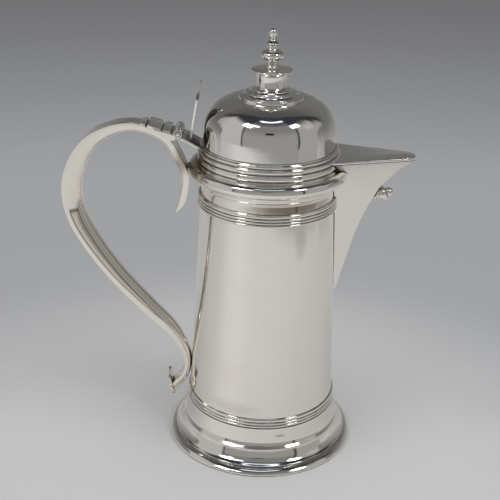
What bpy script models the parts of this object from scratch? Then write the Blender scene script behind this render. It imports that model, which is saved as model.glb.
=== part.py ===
"""Silver flagon: a tapered barrel on a spread foot, with a V-shaped spout, a hollow scroll handle
and a domed lid that opens on a five-knuckle hinge.

Sizes are in metres. +Z is up, +X points along the spout and the barrel stands upright.
"""
import math

import bmesh
import bpy
import numpy as np
from mathutils import Matrix, Vector

# Fits
GAP = 0.0003                 # left between two pieces that seat on each other
HINGE_PLAY = 0.0004          # round a knuckle that turns past the other leaf
OVERSHOOT = 0.006            # how far a cutter reaches past what it cuts

# Facets round a turned piece
BODY_FACETS = 36
SMALL_FACETS = 20

# Barrel
MOUTH_HEIGHT = 0.2012
MOUTH_RADIUS = 0.0417
BARREL_BOTTOM = 0.0195
BARREL_BASE_RADIUS = 0.0497
BARREL_WALL = 0.0011
BASE_THICKNESS = 0.0013

# Foot
FOOT_RADIUS = 0.0638
FOOT_HEIGHT = 0.0279
FOOT_WALL = 0.0008
FOOT_LEDGE_HEIGHT = 0.0045
FOOT_OVOLO_HEIGHT = 0.0077
FOOT_GROOVE_HEIGHT = 0.0130
FOOT_RING_HEIGHT = 0.0162
FOOT_RIM_WIDTH = 0.0050

# Reeded bands, from the lowest reed up
LOWER_REEDS = (0.0022, 0.0020, 0.0027)
UPPER_REEDS = (0.0018, 0.0018, 0.0019, 0.0025)
REED_BULGE = 0.0007
LOWER_BAND_WALL = 0.0003
UPPER_BAND_WALL = 0.0009

# Lip moulding, measured down from the mouth
LIP_RADIUS = 0.0514
LIP_COLLAR = 0.0027          # how far the collar under the mouth stands out from the barrel
LIP_HEIGHT = 0.0205
LIP_BEAD_DROP = 0.0086
NECK_HEIGHT = 0.0046         # plain barrel between the lip and the upper reeds

# Spout
SPOUT_REACH = 0.0922
SPOUT_HEIGHT = 0.0922
SPOUT_TOE = 0.0020
SPOUT_SWEEP = 0.0225         # extra reach that the front edge gains in its upper curve
SPOUT_WALL = 0.0011
SPOUT_HALF_ANGLE = math.radians(15.8)
SPOUT_NOSE_RADIUS = 0.0078
SPOUT_KEEL_RADIUS = 0.0009
SPOUT_SILL = 0.0120          # solid toe below the opening into the barrel

# Drop on the front edge of the spout
DROP_BELOW_MOUTH = 0.0272
DROP_LENGTH = 0.0114
DROP_RADIUS = 0.0043
DROP_BEAD_RADIUS = 0.0029
DROP_TILT = math.radians(23.4)

# Handle: a hollow scroll between the lip and the low seat
HANDLE_REACH = 0.0695        # from the line between the low seat and the hinge out to the bow
HANDLE_CREST = 0.0018        # from the pin up to the middle of the handle's crest
HANDLE_LOW_SEAT = 0.0500
HANDLE_WALL = 0.0011
HANDLE_STRIP = 0.0010
HANDLE_WIDTH = 0.0130
HANDLE_BOW_DEPTH = 0.0124
HANDLE_SEAT_DEPTH = 0.0042

# Shield that ends the handle
SHIELD_HEIGHT = 0.0205
SHIELD_WIDTH = 0.0150
SHIELD_THICKNESS = 0.0015
SHIELD_LEAN = math.radians(10.5)

# Hinge
HINGE_OUT = 0.0121           # from the lid's rim out to the pin
HINGE_RISE = 0.0134          # from the mouth up to the pin
HINGE_LENGTH = 0.0200
KNUCKLE_RADIUS = 0.0029
KNUCKLES = 5
PIN_RADIUS = 0.0015
STRAP_LENGTH = 0.0252
STRAP_TIP_WIDTH = 0.0110
LEAF_THICKNESS = 0.0020

# Thumbpiece
THUMB_HEIGHT = 0.0370
THUMB_WIDTH = 0.0150
THUMB_STEM_WIDTH = 0.0080
THUMB_THICKNESS = 0.0016
THUMB_LEAN = math.radians(9.3)
THUMB_OUT = 0.0074           # from the pin to the foot of the thumbpiece

# Lid
RIM_RADIUS = 0.0448
RIM_HEIGHT = 0.0063
RIM_LOWER_REED = 0.0034
DOME_RADIUS = 0.04175
DOME_WALL = 0.0010
DOME_SIDE = 0.0158
DOME_SHOULDER = 0.0203
CROWN_RADIUS = 0.0205
CROWN_INNER_RADIUS = 0.0160
CROWN_RISE = 0.0070
BEZEL_WALL = 0.0010
BEZEL_DEPTH = 0.0040
BEZEL_RISE = 0.0045
BEZEL_PLAY = 0.0008          # between the bezel and the mouth
COVER_THICKNESS = 0.0017

# Finial
COLLAR_HEIGHT = 0.0089
COLLAR_RADIUS = 0.0101
COLLAR_WAIST = 0.0093
DISC_RADIUS = 0.0130
DISC_THICKNESS = 0.0012
KNOP_HEIGHT = 0.0244
KNOP_RADIUS = 0.0072
STUD_RADIUS = 0.0015
NUT_RADIUS = 0.0042
NUT_HEIGHT = 0.0024
STUD_TAIL = 0.0010           # how far the stud shows below its nut

# Places worked out from the sizes above
LID_BOTTOM = MOUTH_HEIGHT + GAP
HINGE_X = -(RIM_RADIUS + HINGE_OUT)
HINGE_Z = MOUTH_HEIGHT + HINGE_RISE
DOME_TOP = LID_BOTTOM + DOME_SIDE + DOME_SHOULDER
CROWN_TOP = DOME_TOP + CROWN_RISE
DISC_BOTTOM = CROWN_TOP + GAP + COLLAR_HEIGHT + GAP
KNOP_BOTTOM = DISC_BOTTOM + DISC_THICKNESS + GAP
LIP_BOTTOM = MOUTH_HEIGHT - LIP_HEIGHT
SPOUT_BOTTOM = MOUTH_HEIGHT - SPOUT_HEIGHT
STUD_HOLE = STUD_RADIUS + GAP


def barrel_radius(height):
    """Outer radius of the tapered barrel at a height."""
    share = (height - BARREL_BOTTOM) / (MOUTH_HEIGHT - BARREL_BOTTOM)
    return BARREL_BASE_RADIUS + share * (MOUTH_RADIUS - BARREL_BASE_RADIUS)


def arc(centre, radius, start, end, count):
    """Points on a circle's arc between two angles in degrees, in a profile's own plane."""
    angles = np.radians(np.linspace(start, end, count))
    return [(centre[0] + radius * math.cos(a), centre[1] + radius * math.sin(a)) for a in angles]


def reeds(heights, bottom, radius_at):
    """Half-round reeds stacked up from a height, as profile points from the top down."""
    points = []
    for height in heights:
        for part in np.linspace(0.0, 1.0, 3, endpoint=False):
            level = bottom + part * height
            points.append((radius_at(level) + REED_BULGE * math.sin(math.pi * part), level))
        bottom += height
    points.append((radius_at(bottom), bottom))
    return points[::-1]


def smooth_line(stations, steps):
    """Points on a curve that runs smoothly through the stations."""
    stations = np.array(stations)
    first = 2 * stations[0] - stations[1]
    last = 2 * stations[-1] - stations[-2]
    knots = np.vstack([first, stations, last])
    points = []
    for i in range(1, len(knots) - 2):
        for t in np.linspace(0.0, 1.0, steps, endpoint=False):
            a, b, c, d = knots[i - 1:i + 3]
            points.append(0.5 * (2 * b + (c - a) * t + (2 * a - 5 * b + 4 * c - d) * t ** 2
                                 + (3 * b - a - 3 * c + d) * t ** 3))
    points.append(stations[-1])
    return np.array(points)


class Flagon:
    """The scene's collections and the empties that carry the vessel and its lid."""

    def __init__(self):
        for obj in list(bpy.data.objects):
            bpy.data.objects.remove(obj)
        self.parts = bpy.data.collections.new("silver_flagon")
        self.cutters = bpy.data.collections.new("cutters")
        for collection in (self.parts, self.cutters):
            bpy.context.scene.collection.children.link(collection)
        self.vessel = self.carrier("vessel_axis", None, (footprint_offset(), 0, 0))
        self.lid = self.carrier("lid_hinge_axis", self.vessel, (HINGE_X, 0, HINGE_Z))

    def carrier(self, name, parent, location):
        """An empty that other objects are parented to."""
        empty = bpy.data.objects.new(name, None)
        empty.empty_display_size = 0.02
        empty.parent = parent
        empty.location = location
        self.parts.objects.link(empty)
        return empty

    def place(self, obj, carrier, collection):
        """Links an object modelled about the barrel's axis to its carrier."""
        collection.objects.link(obj)
        obj.parent = carrier
        if carrier is self.lid:
            obj.location -= Vector((HINGE_X, 0, HINGE_Z))

    def part(self, obj, carrier, colour=(0.90, 0.89, 0.86), roughness=0.12):
        """Makes an object one of the flagon's sub-parts, with its own polished silver."""
        self.place(obj, carrier, self.parts)
        material = bpy.data.materials.new(obj.name)
        material.use_nodes = True
        shader = material.node_tree.nodes["Principled BSDF"]
        shader.inputs["Base Color"].default_value = (*colour, 1.0)
        shader.inputs["Roughness"].default_value = roughness
        shader.inputs["Metallic"].default_value = 1.0
        obj.data.materials.append(material)
        return obj

    def shape(self, target, operation, tool, carrier):
        """Cuts a target by a tool, or joins the tool to it."""
        if tool.name not in self.cutters.objects:
            self.place(tool, carrier, self.cutters)
            tool.hide_render = True
            tool.display_type = "WIRE"
        modifier = target.modifiers.new(f"{operation.lower()}_{tool.name}", "BOOLEAN")
        modifier.operation = operation
        modifier.object = tool


def turned(name, outline, facets=BODY_FACETS, closed=True):
    """A solid of revolution about Z.

    The outline holds (radius, height) points down the outer side and, where closed, back up the
    inner side. An open outline starts and ends on the axis.
    """
    mesh = bpy.data.meshes.new(name)
    count = len(outline)
    edges = [(i, i + 1) for i in range(count - 1)]
    if closed:
        edges.append((count - 1, 0))
    mesh.from_pydata([(radius, 0, height) for radius, height in outline], edges, [])
    obj = bpy.data.objects.new(name, mesh)
    screw = obj.modifiers.new("turn", "SCREW")
    screw.axis = "Z"
    screw.angle = math.tau
    screw.steps = facets
    screw.render_steps = facets
    screw.use_merge_vertices = True
    screw.merge_threshold = 0.00001
    screw.use_smooth_shade = True
    return obj


def rod(name, radius, length, facets=SMALL_FACETS):
    """A cylinder along Y, centred on its own origin."""
    mesh = bpy.data.meshes.new(name)
    form = bmesh.new()
    bmesh.ops.create_cone(form, cap_ends=True, segments=facets, radius1=radius, radius2=radius, depth=length,
                          matrix=Matrix.Rotation(math.pi / 2, 4, "X"))
    form.to_mesh(mesh)
    form.free()
    return bpy.data.objects.new(name, mesh)


def flat_outline(name, points, thickness, upright=False):
    """A plate with the given outline, its thickness shared to both sides of its plane.

    The outline lies in the XY plane or, where upright, in the XZ plane.
    """
    curve = bpy.data.curves.new(name, "CURVE")
    curve.dimensions = "2D"
    curve.fill_mode = "BOTH"
    curve.extrude = thickness / 2
    spline = curve.splines.new("POLY")
    spline.points.add(len(points) - 1)
    for point, (x, y) in zip(spline.points, points):
        point.co = (x, y, 0, 1)
    spline.use_cyclic_u = True
    drawn = bpy.data.objects.new(name, curve)
    bpy.context.scene.collection.objects.link(drawn)
    evaluated = drawn.evaluated_get(bpy.context.evaluated_depsgraph_get())
    mesh = bpy.data.meshes.new_from_object(evaluated)
    mesh.name = name
    bpy.data.objects.remove(drawn)
    form = bmesh.new()
    form.from_mesh(mesh)
    bmesh.ops.remove_doubles(form, verts=form.verts, dist=0.00001)
    if upright:
        bmesh.ops.rotate(form, verts=form.verts, matrix=Matrix.Rotation(math.pi / 2, 3, "X"))
    bmesh.ops.recalc_face_normals(form, faces=form.faces)
    form.to_mesh(mesh)
    form.free()
    return bpy.data.objects.new(name, mesh)


def lofted(name, sections):
    """A solid skinned over closed sections that have the same number of points."""
    form = bmesh.new()
    rings = [[form.verts.new(point) for point in section] for section in sections]
    for low, high in zip(rings, rings[1:]):
        for i in range(len(low)):
            j = (i + 1) % len(low)
            form.faces.new((low[i], low[j], high[j], high[i]))
    form.faces.new(rings[0][::-1])
    form.faces.new(rings[-1])
    bmesh.ops.recalc_face_normals(form, faces=form.faces)
    mesh = bpy.data.meshes.new(name)
    form.to_mesh(mesh)
    form.free()
    mesh.shade_smooth()
    mesh.set_sharp_from_angle(angle=math.radians(35))
    return bpy.data.objects.new(name, mesh)


def body_barrel():
    """The tapered tube of the barrel, open at both ends."""
    bottom = BARREL_BASE_RADIUS
    return turned("body_barrel", [
        (MOUTH_RADIUS, MOUTH_HEIGHT), (bottom, BARREL_BOTTOM),
        (bottom - BARREL_WALL, BARREL_BOTTOM), (MOUTH_RADIUS - BARREL_WALL, MOUTH_HEIGHT)])


def barrel_seat():
    """The barrel's outside grown by the gap, for cutting what seats on it."""
    top = MOUTH_HEIGHT + OVERSHOOT
    bottom = BARREL_BOTTOM
    return turned("barrel_seat", [
        (0, top), (barrel_radius(top) + GAP, top), (barrel_radius(bottom) + GAP, bottom), (0, bottom)],
        closed=False)


def base_disc():
    """The floor of the vessel, let in to the bottom of the barrel and stiffened by a turned-up edge."""
    inner = BARREL_BASE_RADIUS - BARREL_WALL - GAP
    taper = (BARREL_BASE_RADIUS - MOUTH_RADIUS) / (MOUTH_HEIGHT - BARREL_BOTTOM)
    floor = BARREL_BOTTOM + BASE_THICKNESS
    edge = floor + BASE_THICKNESS
    upper = inner - taper * (edge - BARREL_BOTTOM)
    return turned("base_disc", [
        (0, floor), (upper - 2 * BASE_THICKNESS, floor), (upper - BASE_THICKNESS, edge), (upper, edge),
        (inner, BARREL_BOTTOM), (0, BARREL_BOTTOM)], closed=False)


def foot_radii():
    """Radii of the foot's collar, ring, groove, ovolo and ledge, from the barrel out to the flange."""
    collar = barrel_radius(FOOT_HEIGHT) + GAP + FOOT_WALL
    spread = FOOT_RADIUS - collar
    return [collar + share * spread for share in (0.0, 0.21, 0.12, 0.54, 0.72)]


def foot_skirt():
    """The hollow spun foot: a flared collar, a half-round ring, an ovolo and a cavetto."""
    collar, ring, groove, ovolo, ledge = foot_radii()
    bottom = FOOT_LEDGE_HEIGHT + GAP
    ring_half = FOOT_RING_HEIGHT - FOOT_GROOVE_HEIGHT
    outer = [(collar, FOOT_HEIGHT), (collar + 0.15 * (ring - collar), FOOT_HEIGHT - 0.4 * ring_half),
             (groove, FOOT_RING_HEIGHT + ring_half)]
    for angle in (50, 20, -20, -50):
        reach = (ring - groove) * math.cos(math.radians(angle))
        outer.append((groove + reach, FOOT_RING_HEIGHT + ring_half * math.sin(math.radians(angle))))
    outer.append((groove, FOOT_GROOVE_HEIGHT))
    ovolo_drop = FOOT_GROOVE_HEIGHT - FOOT_OVOLO_HEIGHT
    for angle in (70, 45, 20, 0):
        outer.append((groove + (ovolo - groove) * math.cos(math.radians(angle)),
                      FOOT_OVOLO_HEIGHT + ovolo_drop * math.sin(math.radians(angle)) * 0.92))
    cove_drop = FOOT_OVOLO_HEIGHT - bottom
    for angle in (30, 60, 90):
        outer.append((ledge - (ledge - ovolo) * math.cos(math.radians(angle)),
                      FOOT_OVOLO_HEIGHT - cove_drop * math.sin(math.radians(angle))))
    inside = collar - FOOT_WALL
    wall = 1.5 * FOOT_WALL
    inner = [(ledge - wall, bottom), (ovolo - wall, FOOT_OVOLO_HEIGHT - wall),
             (groove - wall, FOOT_GROOVE_HEIGHT - wall), (groove - wall, FOOT_RING_HEIGHT),
             (inside + 0.2 * FOOT_WALL, FOOT_RING_HEIGHT + 1.3 * ring_half), (inside, FOOT_HEIGHT)]
    return turned("foot_skirt", outer + inner)


def foot_rim():
    """The heavy wire that the flagon stands on, with a rounded upper edge and a flat underside."""
    ledge = foot_radii()[-1]
    inner = FOOT_RADIUS - FOOT_RIM_WIDTH
    height = FOOT_LEDGE_HEIGHT
    edge = 0.30 * height
    nose = arc((FOOT_RADIUS - 0.55 * height, 0.62 * height - edge), 0.55 * height, 80, 0, 4)
    return turned("foot_rim", [
        (inner, height), (ledge + GAP, height), *nose, (FOOT_RADIUS, 0.4 * edge),
        (FOOT_RADIUS - 0.4 * edge, 0), (inner, 0)])


def lower_reeded_band():
    """Three reeds round the foot of the barrel, on top of the foot's collar."""
    bottom = FOOT_HEIGHT + GAP
    top = bottom + sum(LOWER_REEDS)

    def face(level):
        return barrel_radius(level) + GAP + LOWER_BAND_WALL

    return turned("lower_reeded_band", [
        *reeds(LOWER_REEDS, bottom, face),
        (barrel_radius(bottom) + GAP, bottom), (barrel_radius(top) + GAP, top)])


def upper_reeded_band():
    """Four reeds round the neck of the barrel, the top one the widest."""
    top = LIP_BOTTOM - NECK_HEIGHT
    bottom = top - sum(UPPER_REEDS)
    base = barrel_radius(bottom) + GAP + UPPER_BAND_WALL
    return turned("upper_reeded_band", [
        *reeds(UPPER_REEDS, bottom, lambda level: base),
        (barrel_radius(bottom) + GAP, bottom), (barrel_radius(top) + GAP, top)])


def lip_face(margin=0.0):
    """The lip's outer face from the mouth down: collar, cavetto, bead, ogee and three fillets."""
    collar = MOUTH_RADIUS + GAP + LIP_COLLAR
    neck = barrel_radius(LIP_BOTTOM) + GAP
    bead = 0.30 * (LIP_RADIUS - collar)
    middle = LIP_RADIUS - bead
    bead_height = MOUTH_HEIGHT - LIP_BEAD_DROP
    drop = bead_height - bead - LIP_BOTTOM
    face = [(collar, MOUTH_HEIGHT), (collar, MOUTH_HEIGHT - 0.42 * LIP_BEAD_DROP)]
    face += arc((collar + 0.5 * bead, MOUTH_HEIGHT - 0.70 * LIP_BEAD_DROP), 0.5 * bead, 190, 330, 3)
    face += arc((middle, bead_height), bead, 118, -50, 6)
    for share, level in ((0.66, 0.22), (0.47, 0.26), (0.42, 0.46), (0.27, 0.50), (0.23, 0.68), (0.11, 0.74)):
        face.append((neck + share * (LIP_RADIUS - neck), LIP_BOTTOM + drop * (1 - level)))
    face.append((neck + 0.07 * (LIP_RADIUS - neck), LIP_BOTTOM))
    return [(radius + margin, height) for radius, height in face]


def lip_moulding():
    """The moulded lip that wraps the top of the barrel."""
    return turned("lip_moulding", [
        *lip_face(), (barrel_radius(LIP_BOTTOM) + GAP, LIP_BOTTOM), (MOUTH_RADIUS + GAP, MOUTH_HEIGHT)])


def lip_seat():
    """The lip grown by the gap, for cutting the handle that is let in to it."""
    face = lip_face(GAP)
    return turned("lip_seat", [(0, MOUTH_HEIGHT), *face, (0, LIP_BOTTOM)], closed=False)


def keel(share):
    """How far out the spout's front edge lies, from its toe (0) to the mouth (1)."""
    toe = barrel_radius(SPOUT_BOTTOM) + SPOUT_TOE
    lean = SPOUT_REACH - toe - SPOUT_SWEEP
    return toe + lean * share + SPOUT_SWEEP * share ** 4.5


def spout_section(share, margin, back):
    """Outline of the spout in plan at one level: two flat sides that meet in a rounded nose."""
    nose = SPOUT_KEEL_RADIUS + (SPOUT_NOSE_RADIUS - SPOUT_KEEL_RADIUS) * share ** 10
    radius = max(nose + margin, 0.25 * SPOUT_KEEL_RADIUS)
    centre = keel(share) - nose - (radius - nose - margin) / math.sin(SPOUT_HALF_ANGLE)
    swing = 90 - math.degrees(SPOUT_HALF_ANGLE)
    round_nose = arc((centre, 0), radius, -swing, swing, 7)
    x, y = round_nose[-1]
    half = y + (x - back) * math.tan(SPOUT_HALF_ANGLE)
    return [(back, -half), *round_nose, (back, half)]


def spout_solid(name, margin, back, first, rise):
    """The spout's filled form, from a share of its height to its top and a little above."""
    shares = [first + (1 - first) * math.sin(math.pi / 2 * t) for t in np.linspace(0, 1, 12)]
    levels = [(share, SPOUT_BOTTOM + share * SPOUT_HEIGHT) for share in shares]
    if rise:
        levels.append((1.0, MOUTH_HEIGHT + rise))
    return lofted(name, [[(x, y, z) for x, y in spout_section(share, margin, back)] for share, z in levels])


def spout_drop():
    """A turned cup with a bead in it, on the front edge of the spout."""
    length = DROP_LENGTH
    bead = DROP_BEAD_RADIUS
    cup = DROP_RADIUS
    profile = [(0, length + 0.5 * bead), *arc((0, length - 0.4 * bead), bead, 62, 18, 4)]
    profile += [(0.62 * cup, length - 0.45 * bead), (0.90 * cup, length - 0.30 * bead),
                (cup, length - 0.55 * bead), (0.86 * cup, 0.50 * length),
                (0.55 * cup, 0.20 * length), (0.50 * cup, -length), (0, -length)]
    obj = turned("spout_drop", profile, SMALL_FACETS, closed=False)
    share = 1 - DROP_BELOW_MOUTH / SPOUT_HEIGHT
    obj.location = (keel(share), 0, MOUTH_HEIGHT - DROP_BELOW_MOUTH)
    obj.rotation_euler = (0, math.pi / 2 - DROP_TILT, 0)
    return obj


def handle_stations():
    """The handle's line in real sizes: x, height, depth and width at each station.

    A station gives how far out it lies from the line between the low seat and the hinge (1 at the
    bow), how high (0 at the low seat, 1 at the lip, 2 at the crest), and its depth and width as
    shares of the bow's depth and of the full width. They run from the tip of the upper scroll down
    to the low seat.
    """
    shares = (
        (0.048, 0.768, 0.09, 0.20),
        (-0.011, 0.826, 0.39, 0.55),
        (-0.053, 0.916, 0.44, 0.78),
        (-0.042, 0.974, 0.44, 0.90),
        (0.016, 1.228, 0.45, 1.00),
        (0.113, 1.659, 0.47, 1.00),
        (0.271, 1.916, 0.50, 1.00),
        (0.447, 2.000, 0.54, 1.00),
        (0.622, 1.874, 0.62, 1.00),
        (0.799, 1.545, 0.80, 1.00),
        (0.927, 0.997, 0.95, 1.00),
        (1.000, 0.876, 1.00, 1.00),
        (0.978, 0.749, 0.96, 1.00),
        (0.859, 0.618, 0.92, 1.00),
        (0.637, 0.452, 0.85, 0.97),
        (0.363, 0.295, 0.76, 0.92),
        (0.142, 0.177, 0.64, 0.86),
        (0.034, 0.083, 0.46, 0.78),
    )
    heights = (HANDLE_LOW_SEAT, MOUTH_HEIGHT - LIP_BEAD_DROP, HINGE_Z + HANDLE_CREST)
    low = barrel_radius(HANDLE_LOW_SEAT) + HANDLE_SEAT_DEPTH / 2
    stations = []
    for out, up, depth, width in shares:
        seat = low + (-HINGE_X - low) * min(up, 1.0)
        stations.append([-(seat + out * HANDLE_REACH), float(np.interp(up, (0, 1, 2), heights)),
                         depth * HANDLE_BOW_DEPTH, width * HANDLE_WIDTH])
    shift = -(LIP_RADIUS + stations[3][2] / 2) - stations[3][0]
    for station in stations[:5]:
        station[0] += shift
    return stations


def handle_line():
    """The handle's smooth line, with its low seat and the tail that carries the shield."""
    stations = handle_stations()
    seat = barrel_radius(HANDLE_LOW_SEAT) + HANDLE_SEAT_DEPTH / 2
    width = 0.70 * HANDLE_WIDTH
    depth = HANDLE_SEAT_DEPTH
    stations.append([-seat, HANDLE_LOW_SEAT, depth, width])
    stations.append([-seat - 0.55 * depth, HANDLE_LOW_SEAT - 2.6 * depth, depth, width])
    stations.append([-seat - 2.45 * depth, HANDLE_LOW_SEAT - 4.8 * depth, 1.1 * depth, width])
    return smooth_line(stations, 2)


def handle_frames():
    """Place, outward direction, depth and width of the handle at each point of its line."""
    line = handle_line()
    along = np.gradient(line[:, :2], axis=0)
    along /= np.linalg.norm(along, axis=1)[:, None]
    along[-1] = (-math.cos(SHIELD_LEAN), -math.sin(SHIELD_LEAN))
    along[-2] = along[-2] + along[-1]
    along[-2] /= np.linalg.norm(along[-2])
    outward = np.stack([along[:, 1], -along[:, 0]], axis=1)
    return line, outward


def sweep(name, section, line, outward):
    """Skins a section along the handle. The section gives (across, outward) points for a depth and width."""
    rings = []
    for (x, z, depth, width), (out_x, out_z) in zip(line, outward):
        rings.append([(x + v * out_x, u, z + v * out_z) for u, v in section(depth, width)])
    return lofted(name, rings)


def bow(depth, width, wall, count=9):
    """The handle's rounded inner side, inset by a wall, from one edge round to the other."""
    points = []
    for angle in np.linspace(0, math.pi, count):
        across = math.copysign(abs(math.cos(angle)) ** 0.72, math.cos(angle))
        rise = abs(math.sin(angle)) ** 0.72
        points.append(((width / 2 - wall) * across, depth / 2 - (depth - wall) * rise))
    return points


def handle_wall(depth):
    """The shell's wall, thinned where the handle runs out to a tip."""
    return min(HANDLE_WALL, 0.26 * depth)


def handle_shell():
    """The rounded inner side of the hollow handle, a channel that is open on its outer side."""
    def section(depth, width):
        return bow(depth, width, 0) + bow(depth, width, handle_wall(depth))[::-1]
    return sweep("handle_shell", section, *handle_frames())


def handle_strip():
    """The flat strip that closes the handle's outer side."""
    def section(depth, width):
        wall = handle_wall(depth)
        half = width / 2 - wall - min(GAP, 0.3 * wall) - 0.12 * wall
        under = depth / 2 - min(HANDLE_STRIP, 0.9 * wall)
        return [(-half, depth / 2), (half, depth / 2), (0.86 * half, under), (-0.86 * half, under)]
    return sweep("handle_strip", section, *handle_frames())


def handle_back():
    """Everything below the crest of the handle's top, for seating the hinge strap on it."""
    line, outward = handle_frames()
    top = (outward[:, 1] > 0.3) & (line[:, 1] > LIP_BOTTOM)
    half = HINGE_LENGTH

    def section(depth, width):
        low = -depth / 2 - 2 * OVERSHOOT
        high = depth / 2 + GAP
        return [(-half, low), (half, low), (half, high), (-half, high)]

    return sweep("handle_back", section, line[top], outward[top])


def handle_end_shield():
    """The shield-shaped plate at the handle's lower end."""
    half = SHIELD_WIDTH / 2
    high = SHIELD_HEIGHT * 0.65
    low = SHIELD_HEIGHT * 0.35
    right = [(0, high * 0.86), (half * 0.45, high), (half, high * 0.62), (half * 0.92, -low * 0.15),
             (half * 0.55, -low * 0.66), (0, -low)]
    outline = smooth_line(right, 2).tolist()
    left = [(-x, y) for x, y in outline[-2:0:-1]]
    obj = flat_outline("handle_end_shield", outline + left, SHIELD_THICKNESS)
    line, outward = handle_frames()
    x, z = line[-1, :2]
    clear = GAP + SHIELD_THICKNESS / 2
    obj.location = (x - clear * math.cos(SHIELD_LEAN), 0, z - clear * math.sin(SHIELD_LEAN))
    obj.rotation_euler = (math.pi / 2 + SHIELD_LEAN, 0, -math.pi / 2)
    return obj


def footprint_offset():
    """Where the barrel's axis stands when the object's box is centred over the origin."""
    line, outward = handle_frames()
    bow_edge = (line[:, 0] + line[:, 2] / 2 * outward[:, 0]).min()
    return -(bow_edge + SPOUT_REACH) / 2


def knuckle_slots():
    """Middles of the hinge's knuckles along the pin, and the length of each."""
    pitch = HINGE_LENGTH / KNUCKLES
    return [(i - (KNUCKLES - 1) / 2) * pitch for i in range(KNUCKLES)], pitch - GAP


def knuckle(name, radius, middle, length):
    """A plain cylinder round the hinge's axis at one knuckle's place."""
    obj = rod(name, radius, length)
    obj.location = (HINGE_X, middle, HINGE_Z)
    return obj


def strap_profile():
    """The strap in side view from its tip to the pin: a cast plate crossed by three mouldings."""
    length = STRAP_LENGTH
    r = KNUCKLE_RADIUS
    top = [(-length, 1.1 * r), (-0.975 * length, 1.55 * r)]
    crests = ((-0.95, -0.81, 1.68, 1.72, 0.24), (-0.74, -0.43, 1.72, 1.02, 0.14),
              (-0.36, -0.19, 0.76, 0.52, 0.16))
    for start, end, first, last, crown in crests:
        for t in (0.0, 0.3, 0.7, 1.0):
            rise = first + (last - first) * t + crown * math.sin(math.pi * t)
            top.append(((start + (end - start) * t) * length, rise * r))
        top.append(((end + 0.012) * length, (last - 0.32) * r))
    under = [(-0.5 * r, -0.5 * r), (-0.45 * r, -1.1 * r), (-0.8 * r, -1.5 * r), (-length, -1.5 * r)]
    return [(HINGE_X + x, HINGE_Z + z) for x, z in top + under]


def hinge_strap():
    """The cast hinge plate on the handle's crest, tapered in plan towards its tip."""
    obj = flat_outline("hinge_strap", strap_profile(), HINGE_LENGTH - GAP, upright=True)
    shoulder = 0.72 * STRAP_LENGTH
    for vertex in obj.data.vertices:
        past = max(0.0, HINGE_X - shoulder - vertex.co.x) / (STRAP_LENGTH - shoulder)
        vertex.co.y *= 1 - past * (1 - STRAP_TIP_WIDTH / HINGE_LENGTH)
    return obj


def leaf_line(out):
    """Height of the leaf's upper face at a distance inward from the pin."""
    drop = HINGE_RISE - GAP - 0.97 * RIM_HEIGHT
    start = 0.7 * KNUCKLE_RADIUS
    return HINGE_Z - start - (drop - start) * max(0.0, out - KNUCKLE_RADIUS) / (HINGE_OUT - KNUCKLE_RADIUS)


def leaf_profile(margin, thickness):
    """The leaf in side view, from the pin to past the lid's rim."""
    stations = (0.35 * KNUCKLE_RADIUS, KNUCKLE_RADIUS, 1.6 * HINGE_OUT)
    upper = [(HINGE_X + out, leaf_line(out) + margin) for out in stations]
    lower = [(HINGE_X + out, leaf_line(out) - thickness) for out in stations]
    return upper + lower[::-1]


def hinge_leaf():
    """The thin plate that joins the lid's rim to the hinge."""
    return flat_outline("hinge_leaf", leaf_profile(0, LEAF_THICKNESS), HINGE_LENGTH - GAP, upright=True)


def thumbpiece():
    """A shaped plate that rises from the leaf and leans towards the dome."""
    half = THUMB_WIDTH / 2
    stem = THUMB_STEM_WIDTH / 2
    height = THUMB_HEIGHT
    right = [(stem, -0.10 * height), (stem * 0.95, 0.08 * height), (stem * 0.90, 0.22 * height),
             (half * 0.82, 0.45 * height), (half, 0.62 * height), (half * 0.86, 0.76 * height),
             (half * 0.42, 0.89 * height), (0, height)]
    outline = smooth_line(right, 3).tolist()
    left = [(-x, y) for x, y in outline[-2::-1]]
    obj = flat_outline("thumbpiece", outline + left, THUMB_THICKNESS)
    obj.location = (HINGE_X + THUMB_OUT, 0, leaf_line(THUMB_OUT) + GAP)
    obj.rotation_euler = (math.pi / 2 - THUMB_LEAN, 0, -math.pi / 2)
    return obj


def lid_rim_band():
    """The moulded band round the foot of the dome: a bold reed, a lesser reed and a fillet."""
    inner = DOME_RADIUS + GAP
    shelf = inner + 0.35 * (RIM_RADIUS - inner)
    top = LID_BOTTOM + RIM_HEIGHT
    middle = LID_BOTTOM + RIM_LOWER_REED
    upper = top - 0.2 * (top - middle)
    waist = RIM_RADIUS - REED_BULGE
    face = [(shelf, top), (shelf, upper)]
    for start, end, near, far in ((upper, middle, shelf, waist), (middle, LID_BOTTOM, waist, RIM_RADIUS)):
        for t in (0.2, 0.5, 0.8):
            level = start + (end - start) * t
            face.append((near + (far - near) * t + REED_BULGE * math.sin(math.pi * t), level))
        face.append((far, end))
    return turned("lid_rim_band", [*face, (inner, LID_BOTTOM), (inner, top)])


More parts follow.
